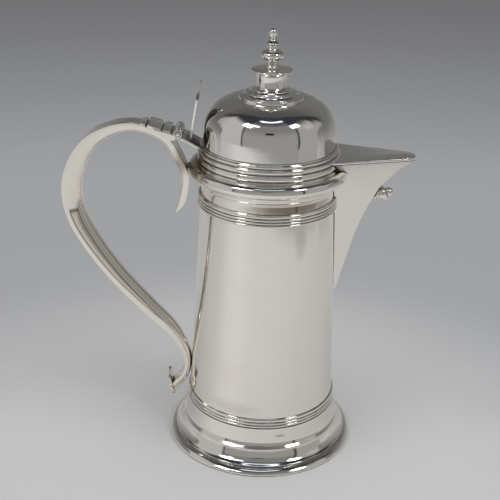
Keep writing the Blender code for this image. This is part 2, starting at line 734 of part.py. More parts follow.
def lid_dome():
    """The raised dome: straight sides, a round shoulder and a stepped crown with a hole for the stud."""
    shoulder_height = LID_BOTTOM + DOME_SIDE
    centre = (DOME_RADIUS - DOME_SHOULDER, shoulder_height)
    outer = [(COLLAR_RADIUS, CROWN_TOP), (1.07 * COLLAR_RADIUS, CROWN_TOP - 0.10 * CROWN_RISE)]
    foot = 0.96 * CROWN_INNER_RADIUS
    for t in (0.4, 1.0):
        outer.append((1.07 * COLLAR_RADIUS + (foot - 1.07 * COLLAR_RADIUS) * t,
                      DOME_TOP + CROWN_RISE * (0.52 + 0.38 * (1 - t) ** 1.8)))
    for radius, rise in ((CROWN_INNER_RADIUS, 0.50), (CROWN_INNER_RADIUS, 0.36),
                         (0.97 * CROWN_RADIUS, 0.18), (CROWN_RADIUS, 0.15), (CROWN_RADIUS, 0.0)):
        outer.append((radius, DOME_TOP + rise * CROWN_RISE))
    outer += arc(centre, DOME_SHOULDER, 88, 0, 8)
    outer.append((DOME_RADIUS, LID_BOTTOM))
    inner = [(DOME_RADIUS - DOME_WALL, LID_BOTTOM)]
    inner += arc(centre, DOME_SHOULDER - DOME_WALL, 0, 88, 4)
    ceiling = DOME_TOP - DOME_WALL
    inner += [(CROWN_RADIUS - DOME_WALL, ceiling), (STUD_HOLE, ceiling)]
    return turned("lid_dome", [(STUD_HOLE, CROWN_TOP), *outer, *inner])


def lid_bezel():
    """The ring inside the lid that drops into the mouth and keeps the lid central."""
    upper = DOME_RADIUS - DOME_WALL - GAP
    guide = MOUTH_RADIUS - BARREL_WALL - BEZEL_PLAY
    inner = guide - BEZEL_WALL
    top = LID_BOTTOM + BEZEL_RISE
    bottom = LID_BOTTOM - BEZEL_DEPTH
    return turned("lid_bezel", [
        (upper, top), (upper, LID_BOTTOM), (guide, LID_BOTTOM), (guide - 0.5 * BEZEL_WALL, bottom),
        (inner - 0.5 * BEZEL_WALL, bottom), (inner, LID_BOTTOM), (inner, top)])


def lid_spout_cover():
    """The flat plate on the lid that covers the spout and follows its outline."""
    obj = flat_outline("lid_spout_cover", spout_section(1.0, 0.0, 0.7 * RIM_RADIUS), COVER_THICKNESS)
    obj.location.z = LID_BOTTOM + COVER_THICKNESS / 2
    return obj


def rim_seat():
    """The rim band's widest circle grown by the gap, for cutting what butts against the band."""
    top = LID_BOTTOM + RIM_HEIGHT + OVERSHOOT
    bottom = LID_BOTTOM - OVERSHOOT
    radius = RIM_RADIUS + REED_BULGE + GAP
    return turned("rim_seat", [(0, top), (radius, top), (radius, bottom), (0, bottom)], closed=False)


def finial_collar():
    """A waisted spool between the crown and the disc."""
    bottom = CROWN_TOP + GAP
    top = bottom + COLLAR_HEIGHT
    face = []
    for t in (0.0, 0.06, 0.16, 0.34, 0.66, 0.84, 0.94, 1.0):
        flare = abs(2 * t - 1) ** 4
        face.append((COLLAR_WAIST + (COLLAR_RADIUS - COLLAR_WAIST) * flare, top - t * COLLAR_HEIGHT))
    return turned("finial_collar", [(STUD_HOLE, top), *face, (STUD_HOLE, bottom)], SMALL_FACETS)


def finial_disc():
    """A thin round plate under the knop, with a rounded edge."""
    top = DISC_BOTTOM + DISC_THICKNESS
    half = DISC_THICKNESS / 2
    edge = arc((DISC_RADIUS - half, DISC_BOTTOM + half), half, 90, -90, 5)
    return turned("finial_disc", [(STUD_HOLE, top), *edge, (STUD_HOLE, DISC_BOTTOM)], SMALL_FACETS)


def finial_knop():
    """A turned bud: a ball tip, a slim neck, a flared ring, a full bulb, a foot and a stud below."""
    base = KNOP_BOTTOM
    h = KNOP_HEIGHT
    r = KNOP_RADIUS
    tip = arc((0, base + 0.891 * h), 0.109 * h, 90, -48, 7)
    profile = [(0, base + h), *tip[1:]]
    profile += [(0.30 * r, base + 0.76 * h), (0.42 * r, base + 0.69 * h), (0.58 * r, base + 0.63 * h),
                (0.55 * r, base + 0.58 * h), (0.47 * r, base + 0.53 * h), (0.60 * r, base + 0.48 * h)]
    for angle in (40, 18, -5, -30, -55):
        a = math.radians(angle)
        profile.append((r * math.cos(a), base + 0.35 * h + 0.15 * h * math.sin(a)))
    profile += [(0.50 * r, base + 0.19 * h), (0.42 * r, base + 0.08 * h), (0.48 * r, base + 0.04 * h),
                (0.48 * r, base), (STUD_RADIUS, base)]
    end = DOME_TOP - DOME_WALL - GAP - NUT_HEIGHT - STUD_TAIL
    profile += [(STUD_RADIUS, end), (0, end)]
    return turned("finial_knop", profile, SMALL_FACETS, closed=False)


def build_nut(flagon):
    """The six-sided nut inside the dome that draws the finial down, bored for the stud."""
    top = DOME_TOP - DOME_WALL - GAP
    mesh = bpy.data.meshes.new("finial_nut")
    form = bmesh.new()
    bmesh.ops.create_cone(form, cap_ends=True, segments=6, radius1=NUT_RADIUS, radius2=NUT_RADIUS,
                          depth=NUT_HEIGHT, matrix=Matrix.Translation((0, 0, top - NUT_HEIGHT / 2)))
    form.to_mesh(mesh)
    form.free()
    nut = flagon.part(bpy.data.objects.new("finial_nut", mesh), flagon.lid, (0.80, 0.78, 0.74), 0.3)
    high = top + OVERSHOOT
    low = top - OVERSHOOT
    bore = turned("stud_bore", [(0, high), (STUD_HOLE, high), (STUD_HOLE, low), (0, low)], SMALL_FACETS,
                  closed=False)
    flagon.shape(nut, "DIFFERENCE", bore, flagon.lid)


def build_vessel(flagon):
    """The barrel, its foot, its bands and lip, and the spout let in to them."""
    vessel = flagon.vessel
    barrel = flagon.part(body_barrel(), vessel)
    for piece in (base_disc(), foot_skirt(), foot_rim(), lower_reeded_band()):
        flagon.part(piece, vessel)
    upper_band = flagon.part(upper_reeded_band(), vessel)
    lip = flagon.part(lip_moulding(), vessel)
    inside = 0.7 * MOUTH_RADIUS
    spout = flagon.part(spout_solid("spout", 0.0, inside, 0.0, 0.0), vessel)
    sill = SPOUT_SILL / SPOUT_HEIGHT
    channel = spout_solid("spout_channel", -SPOUT_WALL, 0.3 * MOUTH_RADIUS, sill, OVERSHOOT)
    clearance = spout_solid("spout_clearance", GAP, inside, 0.0, OVERSHOOT)
    flagon.shape(spout, "DIFFERENCE", channel, vessel)
    flagon.shape(spout, "DIFFERENCE", barrel_seat(), vessel)
    flagon.shape(barrel, "DIFFERENCE", channel, vessel)
    flagon.shape(upper_band, "DIFFERENCE", clearance, vessel)
    flagon.shape(lip, "DIFFERENCE", clearance, vessel)
    drop = flagon.part(spout_drop(), vessel)
    flagon.shape(drop, "DIFFERENCE", clearance, vessel)


def build_handle(flagon):
    """The hollow handle, let in to the lip above and seated on the barrel below."""
    vessel = flagon.vessel
    shell = flagon.part(handle_shell(), vessel, (0.90, 0.88, 0.83))
    strip = flagon.part(handle_strip(), vessel, (0.90, 0.88, 0.83))
    flagon.part(handle_end_shield(), vessel)
    lip = lip_seat()
    barrel = bpy.data.objects["barrel_seat"]
    for piece in (shell, strip):
        flagon.shape(piece, "DIFFERENCE", lip, vessel)
        flagon.shape(piece, "DIFFERENCE", barrel, vessel)


def build_hinge(flagon):
    """The strap on the handle and the leaf on the lid, with their knuckles and the pin through both."""
    strap = flagon.part(hinge_strap(), flagon.vessel)
    flagon.shape(strap, "DIFFERENCE", handle_back(), flagon.vessel)
    leaf = flagon.part(hinge_leaf(), flagon.lid)
    flagon.shape(leaf, "DIFFERENCE", rim_seat(), flagon.lid)
    middles, length = knuckle_slots()
    for i, middle in enumerate(middles):
        own, other, carrier = (strap, leaf, flagon.vessel) if i % 2 == 0 else (leaf, strap, flagon.lid)
        far = flagon.lid if carrier is flagon.vessel else flagon.vessel
        room = knuckle(f"knuckle_room_{i + 1}", KNUCKLE_RADIUS + HINGE_PLAY, middle, length + 1.5 * GAP)
        flagon.shape(other, "DIFFERENCE", room, far)
        flagon.shape(own, "UNION", knuckle(f"knuckle_{i + 1}", KNUCKLE_RADIUS, middle, length), carrier)
    for piece, carrier, name in ((strap, flagon.vessel, "strap_bore"), (leaf, flagon.lid, "leaf_bore")):
        bore = knuckle(name, PIN_RADIUS + GAP, 0, HINGE_LENGTH + OVERSHOOT)
        flagon.shape(piece, "DIFFERENCE", bore, carrier)
    pin = rod("hinge_pin", PIN_RADIUS, HINGE_LENGTH)
    pin.location = (HINGE_X, 0, HINGE_Z)
    flagon.part(pin, flagon.vessel)


def build_lid(flagon):
    """The dome with its rim, bezel, spout cover, thumbpiece and finial."""
    lid = flagon.lid
    for piece in (lid_dome(), lid_rim_band(), lid_bezel(), finial_collar(), finial_disc(), finial_knop()):
        flagon.part(piece, lid)
    build_nut(flagon)
    cover = flagon.part(lid_spout_cover(), lid)
    flagon.shape(cover, "DIFFERENCE", bpy.data.objects["rim_seat"], lid)
    thumb = flagon.part(thumbpiece(), lid)
    leaf_seat = flat_outline("leaf_seat", leaf_profile(GAP, 2 * OVERSHOOT), HINGE_LENGTH, upright=True)
    flagon.shape(thumb, "DIFFERENCE", leaf_seat, lid)


def main():
    flagon = Flagon()
    build_vessel(flagon)
    build_handle(flagon)
    build_hinge(flagon)
    build_lid(flagon)


main()
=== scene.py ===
"""Silver flagon: fine shapes and polished finishes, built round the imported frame.

Lengths are in metres. The barrel's axis is upright, the spout points along +X and the camera looks
along +Y.
"""
import logging
import math
from collections.abc import Callable
from dataclasses import dataclass
from enum import Enum

import bmesh
import bpy
import numpy as np
from mathutils import Matrix, Vector


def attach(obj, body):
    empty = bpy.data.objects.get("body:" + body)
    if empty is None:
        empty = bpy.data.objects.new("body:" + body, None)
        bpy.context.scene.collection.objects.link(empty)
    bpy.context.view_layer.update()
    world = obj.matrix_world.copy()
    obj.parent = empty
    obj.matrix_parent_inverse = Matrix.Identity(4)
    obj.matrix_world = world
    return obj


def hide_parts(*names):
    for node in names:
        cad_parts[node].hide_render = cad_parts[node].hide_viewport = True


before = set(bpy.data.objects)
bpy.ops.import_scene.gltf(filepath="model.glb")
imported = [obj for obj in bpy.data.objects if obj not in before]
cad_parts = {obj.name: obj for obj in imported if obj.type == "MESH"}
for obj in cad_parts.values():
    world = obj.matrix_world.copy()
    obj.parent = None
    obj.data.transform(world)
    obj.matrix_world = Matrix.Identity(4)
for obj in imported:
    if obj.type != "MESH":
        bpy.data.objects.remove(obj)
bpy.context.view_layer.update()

LOG = logging.getLogger("flagon")

AXIS_X = 0.0197946
GAP = 0.0003
FULL_TURN = math.tau

Point = tuple[float, float]
Points = tuple[Point, ...]
Outline = list[Point]
Section = Callable[[float, float], Outline]
Colour = tuple[float, float, float]
Place = tuple[float, float, float]
Object = bpy.types.Object
Socket = bpy.types.NodeSocket


class Body(Enum):
    """The two bodies of the frame."""

    VESSEL = "vessel"
    LID = "lid"


class Slot(Enum):
    """Material slots of the record."""

    BODY = "body_silver"
    LID = "lid_silver"
    HANDLE = "handle_silver"
    HINGE = "hinge_silver"
    INNER = "inner_silver"


class Profile:
    """The outline of a turned piece, drawn from point to point as (radius, height)."""

    def __init__(self, radius: float, height: float) -> None:
        """Starts the outline at a point."""
        self.points: Outline = [(radius, height)]

    def to(self, radius: float, height: float) -> "Profile":
        """Draws a straight line to a point and returns the outline."""
        self.points.append((radius, height))
        return self

    def arc(self, centre: Point, radii: Point, start: float, end: float, count: int = 10) -> "Profile":
        """Draws an elliptic arc.

        Args:
            centre: The ellipse's centre.
            radii: Its half sizes along the radius and the height.
            start: The first angle in degrees, 0 outwards and 90 upwards.
            end: The last angle in degrees.
            count: Number of points.

        Returns:
            The outline.
        """
        for angle in np.radians(np.linspace(start, end, count)):
            x, y = radii[0] * math.cos(angle), radii[1] * math.sin(angle)
            self.points.append((centre[0] + x, centre[1] + y))
        return self

    def curve(self, through: Outline, steps: int = 5) -> "Profile":
        """Draws a smooth curve from the last point through others and returns the outline."""
        line = smooth_line([self.points[-1], *through], steps)
        self.points += [tuple(point) for point in line[1:]]
        return self

    def scaled(self, width: float, height: float, base: float) -> "Profile":
        """Turns shares of a width, and of a height above a base, into lengths and returns the outline."""
        self.points = scaled(self.points, width, height, base)
        return self

    def rounded(self, size: float, sharp: float = 24.0, count: int = 4) -> Outline:
        """Rounds the outline's sharp corners.

        Args:
            size: How far from a corner its rounding starts, where the sides are long enough.
            sharp: Corners that turn by less than this many degrees stay.
            count: Points in each rounding.

        Returns:
            The rounded outline.
        """
        points = [np.array(point) for point in self.points]
        made: list[np.ndarray] = [points[0]]
        for before, corner, after in zip(points, points[1:], points[2:]):
            back, ahead = before - corner, after - corner
            lengths = np.linalg.norm(back), np.linalg.norm(ahead)
            if min(lengths) < 1e-9:
                continue
            turn = math.degrees(math.acos(np.clip(-back @ ahead / (lengths[0] * lengths[1]), -1, 1)))
            if turn < sharp:
                made.append(corner)
                continue
            reach = [min(size, 0.42 * length) / length for length in lengths]
            start, end = corner + back * reach[0], corner + ahead * reach[1]
            for t in np.linspace(0, 1, count):
                made.append(start * (1 - t) ** 2 + 2 * corner * t * (1 - t) + end * t ** 2)
        made.append(points[-1])
        return [tuple(point) for point in made]


def smooth_line(stations: list, steps: int) -> np.ndarray:
    """Points on a curve that runs smoothly through stations of any number of values.

    Args:
        stations: The stations in order.
        steps: Points from one station to the next.

    Returns:
        One row for each point.
    """
    rows = np.array(stations, float)
    knots = np.vstack([2 * rows[0] - rows[1], rows, 2 * rows[-1] - rows[-2]])
    points = []
    for i in range(1, len(knots) - 2):
        a, b, c, d = knots[i - 1:i + 3]
        for t in np.linspace(0.0, 1.0, steps, endpoint=False):
            points.append(0.5 * (2 * b + (c - a) * t + (2 * a - 5 * b + 4 * c - d) * t ** 2
                                 + (3 * b - a - 3 * c + d) * t ** 3))
    points.append(rows[-1])
    return np.array(points)


def scaled(shares: Points | Outline, width: float, height: float, base: float = 0.0) -> Outline:
    """Turns shares of a width, and of a height above a base, into lengths."""
    return [(x * width, base + y * height) for x, y in shares]


def shifted(points: Points, right: float, up: float) -> Outline:
    """Moves points to the right and up."""
    return [(right + x, up + y) for x, y in points]


def stood_up(lean: float) -> Matrix:
    """A turn that stands a flat plate up, square to the handle's plane, and leans it over."""
    return Matrix.Rotation(-math.pi / 2, 4, "Z") @ Matrix.Rotation(math.pi / 2 + lean, 4, "X")


class Bench:
    """Modelling steps that the pieces share, done with Blender's operators."""

    @staticmethod
    def pick(obj: Object) -> None:
        """Selects one object alone and makes it the active one."""
        bpy.ops.object.select_all(action="DESELECT")
        obj.select_set(True)
        bpy.context.view_layer.objects.active = obj

    @staticmethod
    def name(obj_name: str) -> Object:
        """Names the primitive that was just added and opens it for editing."""
        obj = bpy.context.object
        obj.name = obj_name
        obj.data.name = obj_name
        bpy.ops.object.mode_set(mode="EDIT")
        return obj

    @staticmethod
    def close(obj: Object) -> Object:
        """Merges doubles, turns the faces outwards, leaves edit mode and returns the object."""
        bpy.ops.mesh.select_all(action="SELECT")
        bpy.ops.mesh.remove_doubles(threshold=2e-6)
        bpy.ops.mesh.normals_make_consistent(inside=False)
        bpy.ops.mesh.select_all(action="DESELECT")
        bpy.ops.object.mode_set(mode="OBJECT")
        return obj

    @classmethod
    def turn(cls, name: str, outline: Outline, steps: int = 144, centre: float = AXIS_X) -> Object:
        """Draws an outline by extruding a point and spins it about an upright axis.

        Args:
            name: The piece's name.
            outline: Points of the outline, which ends where it starts or on the axis.
            steps: Facets round the axis.
            centre: Where the axis stands along X.

        Returns:
            The turned piece.
        """
        bpy.ops.object.select_all(action="DESELECT")
        first = outline[0]
        bpy.ops.mesh.primitive_plane_add(size=0.001, location=(centre + first[0], 0, first[1]))
        obj = cls.name(name)
        bpy.ops.mesh.merge(type="CENTER")
        for here, there in zip(outline, outline[1:]):
            step = (there[0] - here[0], 0, there[1] - here[1])
            bpy.ops.mesh.extrude_region_move(TRANSFORM_OT_translate={"value": step})
        bpy.ops.mesh.select_all(action="SELECT")
        bpy.ops.mesh.spin(steps=steps, angle=FULL_TURN, center=Vector((centre, 0, 0)), axis=(0, 0, 1))
        cls.close(obj)
        bpy.ops.object.transform_apply(location=True, rotation=True, scale=True)
        return obj

    @classmethod
    def loft(cls, name: str, sections: list[list[Vector]]) -> Object:
        """Rolls a grid over closed sections and draws its two ends together.

        Args:
            name: The piece's name.
            sections: Closed sections with the same number of points, in order.

        Returns:
            The lofted piece.
        """
        bpy.ops.object.select_all(action="DESELECT")
        around = len(sections[0])
        middles = [sum(section, Vector()) / around for section in (sections[0], sections[-1])]
        rows = [[middles[0]] * around, *sections, [middles[1]] * around]
        bpy.ops.mesh.primitive_grid_add(x_subdivisions=around, y_subdivisions=len(rows) - 1, size=1)
        obj = bpy.context.object
        places = np.array([[tuple(point) for point in (*row, row[0])] for row in rows], np.float32)
        obj.data.vertices.foreach_set("co", places.ravel())
        return cls.close(cls.name(name))

    @classmethod
    def plate(cls, name: str, outline: Outline, thickness: float) -> Object:
        """Shapes a disc to an outline in the XY plane and extrudes it to both sides of the plane.

        Args:
            name: The piece's name.
            outline: Points round the plate.
            thickness: Its full thickness.

        Returns:
            The plate, still at the origin.
        """
        bpy.ops.object.select_all(action="DESELECT")
        bpy.ops.mesh.primitive_circle_add(vertices=len(outline), radius=1, fill_type="NGON")
        obj = bpy.context.object
        places = np.array([(x, y, -thickness / 2) for x, y in outline], np.float32)
        obj.data.vertices.foreach_set("co", places.ravel())
        cls.name(name)
        bpy.ops.mesh.select_all(action="SELECT")
        bpy.ops.mesh.extrude_region_move(TRANSFORM_OT_translate={"value": (0, 0, thickness)})
        return cls.close(obj)

    @classmethod
    def apply(cls, obj: Object, kind: str, **values: object) -> Object:
        """Adds a modifier with the given values, applies it and returns the object."""
        cls.pick(obj)
        modifier = obj.modifiers.new(kind.lower(), kind)
        for key, value in values.items():
            setattr(modifier, key, value)
        bpy.ops.object.modifier_apply(modifier=modifier.name)
        return obj

    @classmethod
    def cut(cls, obj: Object, tool: Object, keep: bool = False) -> Object:
        """Cuts a piece by a tool.

        Args:
            obj: The piece.
            tool: What is taken away from it.
            keep: Whether the tool is used again.

        Returns:
            The piece.
        """
        cls.apply(obj, "BOOLEAN", operation="DIFFERENCE", solver="EXACT", object=tool)
        if not keep:
            bpy.data.objects.remove(tool)
        return obj

    @classmethod
    def join(cls, obj: Object, other: Object) -> Object:
        """Joins another solid to a piece as one skin and returns the piece."""
        cls.apply(obj, "BOOLEAN", operation="UNION", solver="EXACT", object=other)
        bpy.data.objects.remove(other)
        return obj

    @classmethod
    def bevel(cls, obj: Object, width: float, segments: int = 3) -> Object:
        """Rounds a piece's sharp edges and returns it."""
        return cls.apply(obj, "BEVEL", width=width, segments=segments, limit_method="ANGLE",
                         angle_limit=math.radians(35))

    @classmethod
    def smooth(cls, obj: Object, angle: float = 32.0) -> Object:
        """Shades a piece smooth up to an angle in degrees and returns it."""
        cls.pick(obj)
        bpy.ops.object.shade_smooth_by_angle(angle=math.radians(angle))
        return obj


class NodeTree:
    """A thin hand on a shader node tree."""

    def __init__(self, tree: bpy.types.NodeTree) -> None:
        """Keeps the tree."""
        self.tree = tree

    def add(self, kind: str, **values: object) -> bpy.types.Node:
        """Adds a node.

        Args:
            kind: The node type without its ShaderNode prefix.
            values: Properties of the node, or inputs where the key starts with in_ and holds the
                socket's name or number. A socket as the value is linked.

        Returns:
            The node.
        """
        full = kind if kind.startswith("Node") else f"ShaderNode{kind}"
        node = self.tree.nodes.new(full)
        for key, value in values.items():
            if key.startswith("in_"):
                label = key[3:].replace("_", " ")
                socket = node.inputs[int(label)] if label.isdigit() else node.inputs[label]
                self.feed(socket, value)
            else:
                setattr(node, key, value)
        return node

    def feed(self, socket: Socket, value: object) -> None:
        """Links a socket to an input, or sets the input's own value."""
        if isinstance(value, Socket):
            self.tree.links.new(value, socket)
        else:
            socket.default_value = value

    def math(self, operation: str, first: object, second: object = 0.0, clamp: bool = False) -> Socket:
        """Adds a Math node and returns its value."""
        return self.add("Math", operation=operation, in_0=first, in_1=second, use_clamp=clamp).outputs[0]

    def times_plus(self, first: object, second: object, third: object) -> Socket:
        """Multiplies two values, adds a third and returns the result."""
        return self.add("Math", operation="MULTIPLY_ADD", in_0=first, in_1=second, in_2=third).outputs[0]

    def vector(self, operation: str, first: object, second: object = (0.0, 0.0, 0.0)) -> Socket:
        """Adds a VectorMath node and returns its vector, or its value if it measures."""
        outputs = self.add("VectorMath", operation=operation, in_0=first, in_1=second).outputs
        return outputs["Value" if operation in ("LENGTH", "DISTANCE") else "Vector"]

    def split(self, vector: Socket) -> list[Socket]:
        """Splits a vector and returns its three parts."""
        return list(self.add("SeparateXYZ", in_0=vector).outputs)

    def noise(self, vector: Socket, scale: float, detail: float, **values: float) -> Socket:
        """Adds a noise texture and returns its value."""
        node = self.add("TexNoise", in_Vector=vector, in_Scale=scale, in_Detail=detail, **values)
        return node.outputs["Fac"]

    def step(self, value: object, low: object, high: object, first: float = 0.0, last: float = 1.0) -> Socket:
        """Adds a smooth step from one value to another and returns its result."""
        node = self.add("MapRange", interpolation_type="SMOOTHSTEP")
        for name, item in (("Value", value), ("From Min", low), ("From Max", high), ("To Min", first),
                           ("To Max", last)):
            self.feed(node.inputs[name], item)
        return node.outputs["Result"]

    def mix(self, share: object, first: object, second: object, blend: str = "MIX") -> Socket:
        """Adds a colour Mix node and returns its colour."""
        node = self.add("Mix", data_type="RGBA", blend_type=blend)
        for number, item in ((0, share), (6, first), (7, second)):
            self.feed(node.inputs[number], item)
        return node.outputs[2]

    def ramp(self, value: Socket, stops: list[tuple[float, tuple]]) -> Socket:
        """Adds a colour ramp and returns its colour.

        Args:
            value: The socket that drives it.
            stops: Positions with their colours, in order.

        Returns:
            The colour socket.
        """
        node = self.add("ValToRGB", in_Fac=value)
        elements = node.color_ramp.elements
        while len(elements) < len(stops):
            elements.new(0.5)
        for element, (position, colour) in zip(elements, stops):
            element.position = position
            element.color = (*colour, 1.0)
        return node.outputs["Color"]


def group(name: str, inputs: list[tuple[str, str]], outputs: list[tuple[str, str]]
          ) -> tuple[bpy.types.NodeTree, NodeTree, bpy.types.Node, bpy.types.Node]:
    """Makes an empty shader node group with named sockets.

    Args:
        name: The group's name.
        inputs: Names and kinds (Float, Vector or Color) of its inputs.
        outputs: The same for its outputs.

    Returns:
        The group, a hand on it, and its input and output nodes.
    """
    made = bpy.data.node_groups.new(name, "ShaderNodeTree")
    for side, sockets in (("INPUT", inputs), ("OUTPUT", outputs)):
        for label, kind in sockets:
            made.interface.new_socket(label, in_out=side, socket_type=f"NodeSocket{kind}")
    hand = NodeTree(made)
    return made, hand, hand.add("NodeGroupInput"), hand.add("NodeGroupOutput")


class SilverEffects:
    """Node groups that every silver finish shares."""

    def __init__(self) -> None:
        """Builds the groups."""
        self.tarnish_and_shade = self.build_tarnish_and_shade()
        self.stain = self.build_stain_and_shade()
        self.band = self.build_band()
        self.polish = self.build_polish()

    @staticmethod
    def build_tarnish_and_shade() -> bpy.types.NodeTree:
        """Makes the group for the brown line in grooves and corners, part patina and part painted shade read
        from ambient occlusion, and the thin yellow film on open faces.
        """
        made, hand, given, out = group(
            "silver_tarnish_and_shade",
            [("Vector", "Vector"), ("Depth", "Float"), ("Film", "Float"), ("Reach", "Float")],
            [("Groove", "Float"), ("Film", "Float")])
        # Painted shade: ambient occlusion darkens grooves, corners and the sides of reeds, on top of the
        # patina in them.
        closeness = hand.add("AmbientOcclusion", samples=8, in_Distance=given.outputs["Reach"])
        breakup = hand.noise(given.outputs["Vector"], 260.0, 3.0)
        shade = hand.step(closeness.outputs["AO"], 0.34, 0.80, 1.0, 0.0)
        groove_patina_and_shade = hand.math("MULTIPLY", shade, hand.step(breakup, 0.25, 0.75, 0.55, 1.0))
        hand.feed(out.inputs["Groove"], hand.math("MULTIPLY", groove_patina_and_shade, given.outputs["Depth"], clamp=True))
        cloud = hand.noise(given.outputs["Vector"], 28.0, 4.0, in_Roughness=0.62, in_Distortion=0.6)
        film = hand.step(cloud, 0.48, 0.74)
        hand.feed(out.inputs["Film"], hand.math("MULTIPLY", film, given.outputs["Film"], clamp=True))
        return made

    @staticmethod
    def build_stain_and_shade() -> bpy.types.NodeTree:
        """Makes the group for one cloudy dark patch, used both for patina and for painted shade and
        reflections.
        """
        made, hand, given, out = group(
            "silver_stain",
            [("Vector", "Vector"), ("Middle", "Vector"), ("Size", "Vector"), ("Strength", "Float")],
            [("Mask", "Float")])
        offset = hand.vector("SUBTRACT", given.outputs["Vector"], given.outputs["Middle"])
        away = hand.vector("LENGTH", hand.vector("DIVIDE", offset, given.outputs["Size"]))
        cloud = hand.noise(given.outputs["Vector"], 190.0, 5.0, in_Roughness=0.65)
        uneven = hand.math("ADD", away, hand.math("MULTIPLY", cloud, 0.5))
        patch = hand.step(uneven, 0.50, 1.25, 1.0, 0.0)
        hand.feed(out.inputs["Mask"], hand.math("MULTIPLY", patch, given.outputs["Strength"], clamp=True))
        return made

    @staticmethod
    def build_band() -> bpy.types.NodeTree:
        """Makes the group for a dull band with dark edges, pointed at its end, by a sweep's own UV."""
        made, hand, given, out = group(
            "silver_band",
            [("UV", "Vector"), ("Crest", "Float"), ("Middle", "Float"), ("Half", "Float"), ("Start", "Float"),
             ("End", "Float"), ("Edge", "Float")],
            [("Band", "Float"), ("Edges", "Float")])
        socket = given.outputs
        around, along, _ = hand.split(socket["UV"])
        side = hand.math("ABSOLUTE", hand.math("SUBTRACT", around, socket["Crest"]))
        aside = hand.math("ABSOLUTE", hand.math("SUBTRACT", side, socket["Middle"]))
        length = hand.math("SUBTRACT", socket["End"], socket["Start"])
        share = hand.math("DIVIDE", hand.math("SUBTRACT", along, socket["Start"]), length)
        taper, blunt = 2.6, 2.0
        gone = hand.math("POWER", hand.math("MAXIMUM", share, 0.0), taper)
        half = hand.math("MULTIPLY", socket["Half"], hand.math("SUBTRACT", 1.0, gone, clamp=True))
        begun = hand.math("MULTIPLY", hand.math("MULTIPLY", share, length), blunt)
        inside = hand.math("MINIMUM", hand.math("SUBTRACT", half, aside), begun)
        depth = hand.math("DIVIDE", inside, socket["Edge"])
        hand.feed(out.inputs["Band"], hand.step(depth, 0.0, 1.0))
        hand.feed(out.inputs["Edges"], hand.math("SUBTRACT", 1.0, hand.math("ABSOLUTE", depth), clamp=True))
        return made

    @staticmethod
    def build_polish() -> bpy.types.NodeTree:
        """Makes the group for polishing hairlines, soft smears and the faint waves of hand-raised sheet."""
        made, hand, given, out = group(
            "silver_polish",
            [("Vector", "Vector"), ("Hairline Scale", "Vector")],
            [("Smear", "Float"), ("Hairlines", "Float"), ("Waves", "Float")])
        place = given.outputs["Vector"]
        smear = hand.noise(place, 45.0, 5.0, in_Roughness=0.7)
        hand.feed(out.inputs["Smear"], hand.step(smear, 0.35, 0.72))
        stretched = hand.vector("MULTIPLY", place, given.outputs["Hairline Scale"])
        lines = hand.noise(stretched, 1.0, 6.0, in_Roughness=0.75)
        hand.feed(out.inputs["Hairlines"], hand.step(lines, 0.30, 0.70))
        hand.feed(out.inputs["Waves"], hand.noise(place, 70.0, 1.0))
        return made


@dataclass(frozen=True)
class StainAndShade:
    """A soft dark patch, patina on some pieces and painted shade and reflections on others, by its middle
    about the barrel's axis, its half sizes and its strength.
    """

    middle: Place
    size: Place
    strength: float


@dataclass(frozen=True)
class DullBand:
    """A dull band along both sides of a sweep, by shares of the way round and along it."""

    crest: float
    middle: float
    half: float
    start: float
    end: float
    edge: float
    band_share: float
    edge_share: float

    def places(self) -> dict[str, float]:
        """The band's place, by the names of its group's inputs."""
        return {"Crest": self.crest, "Middle": self.middle, "Half": self.half, "Start": self.start,
                "End": self.end, "Edge": self.edge}


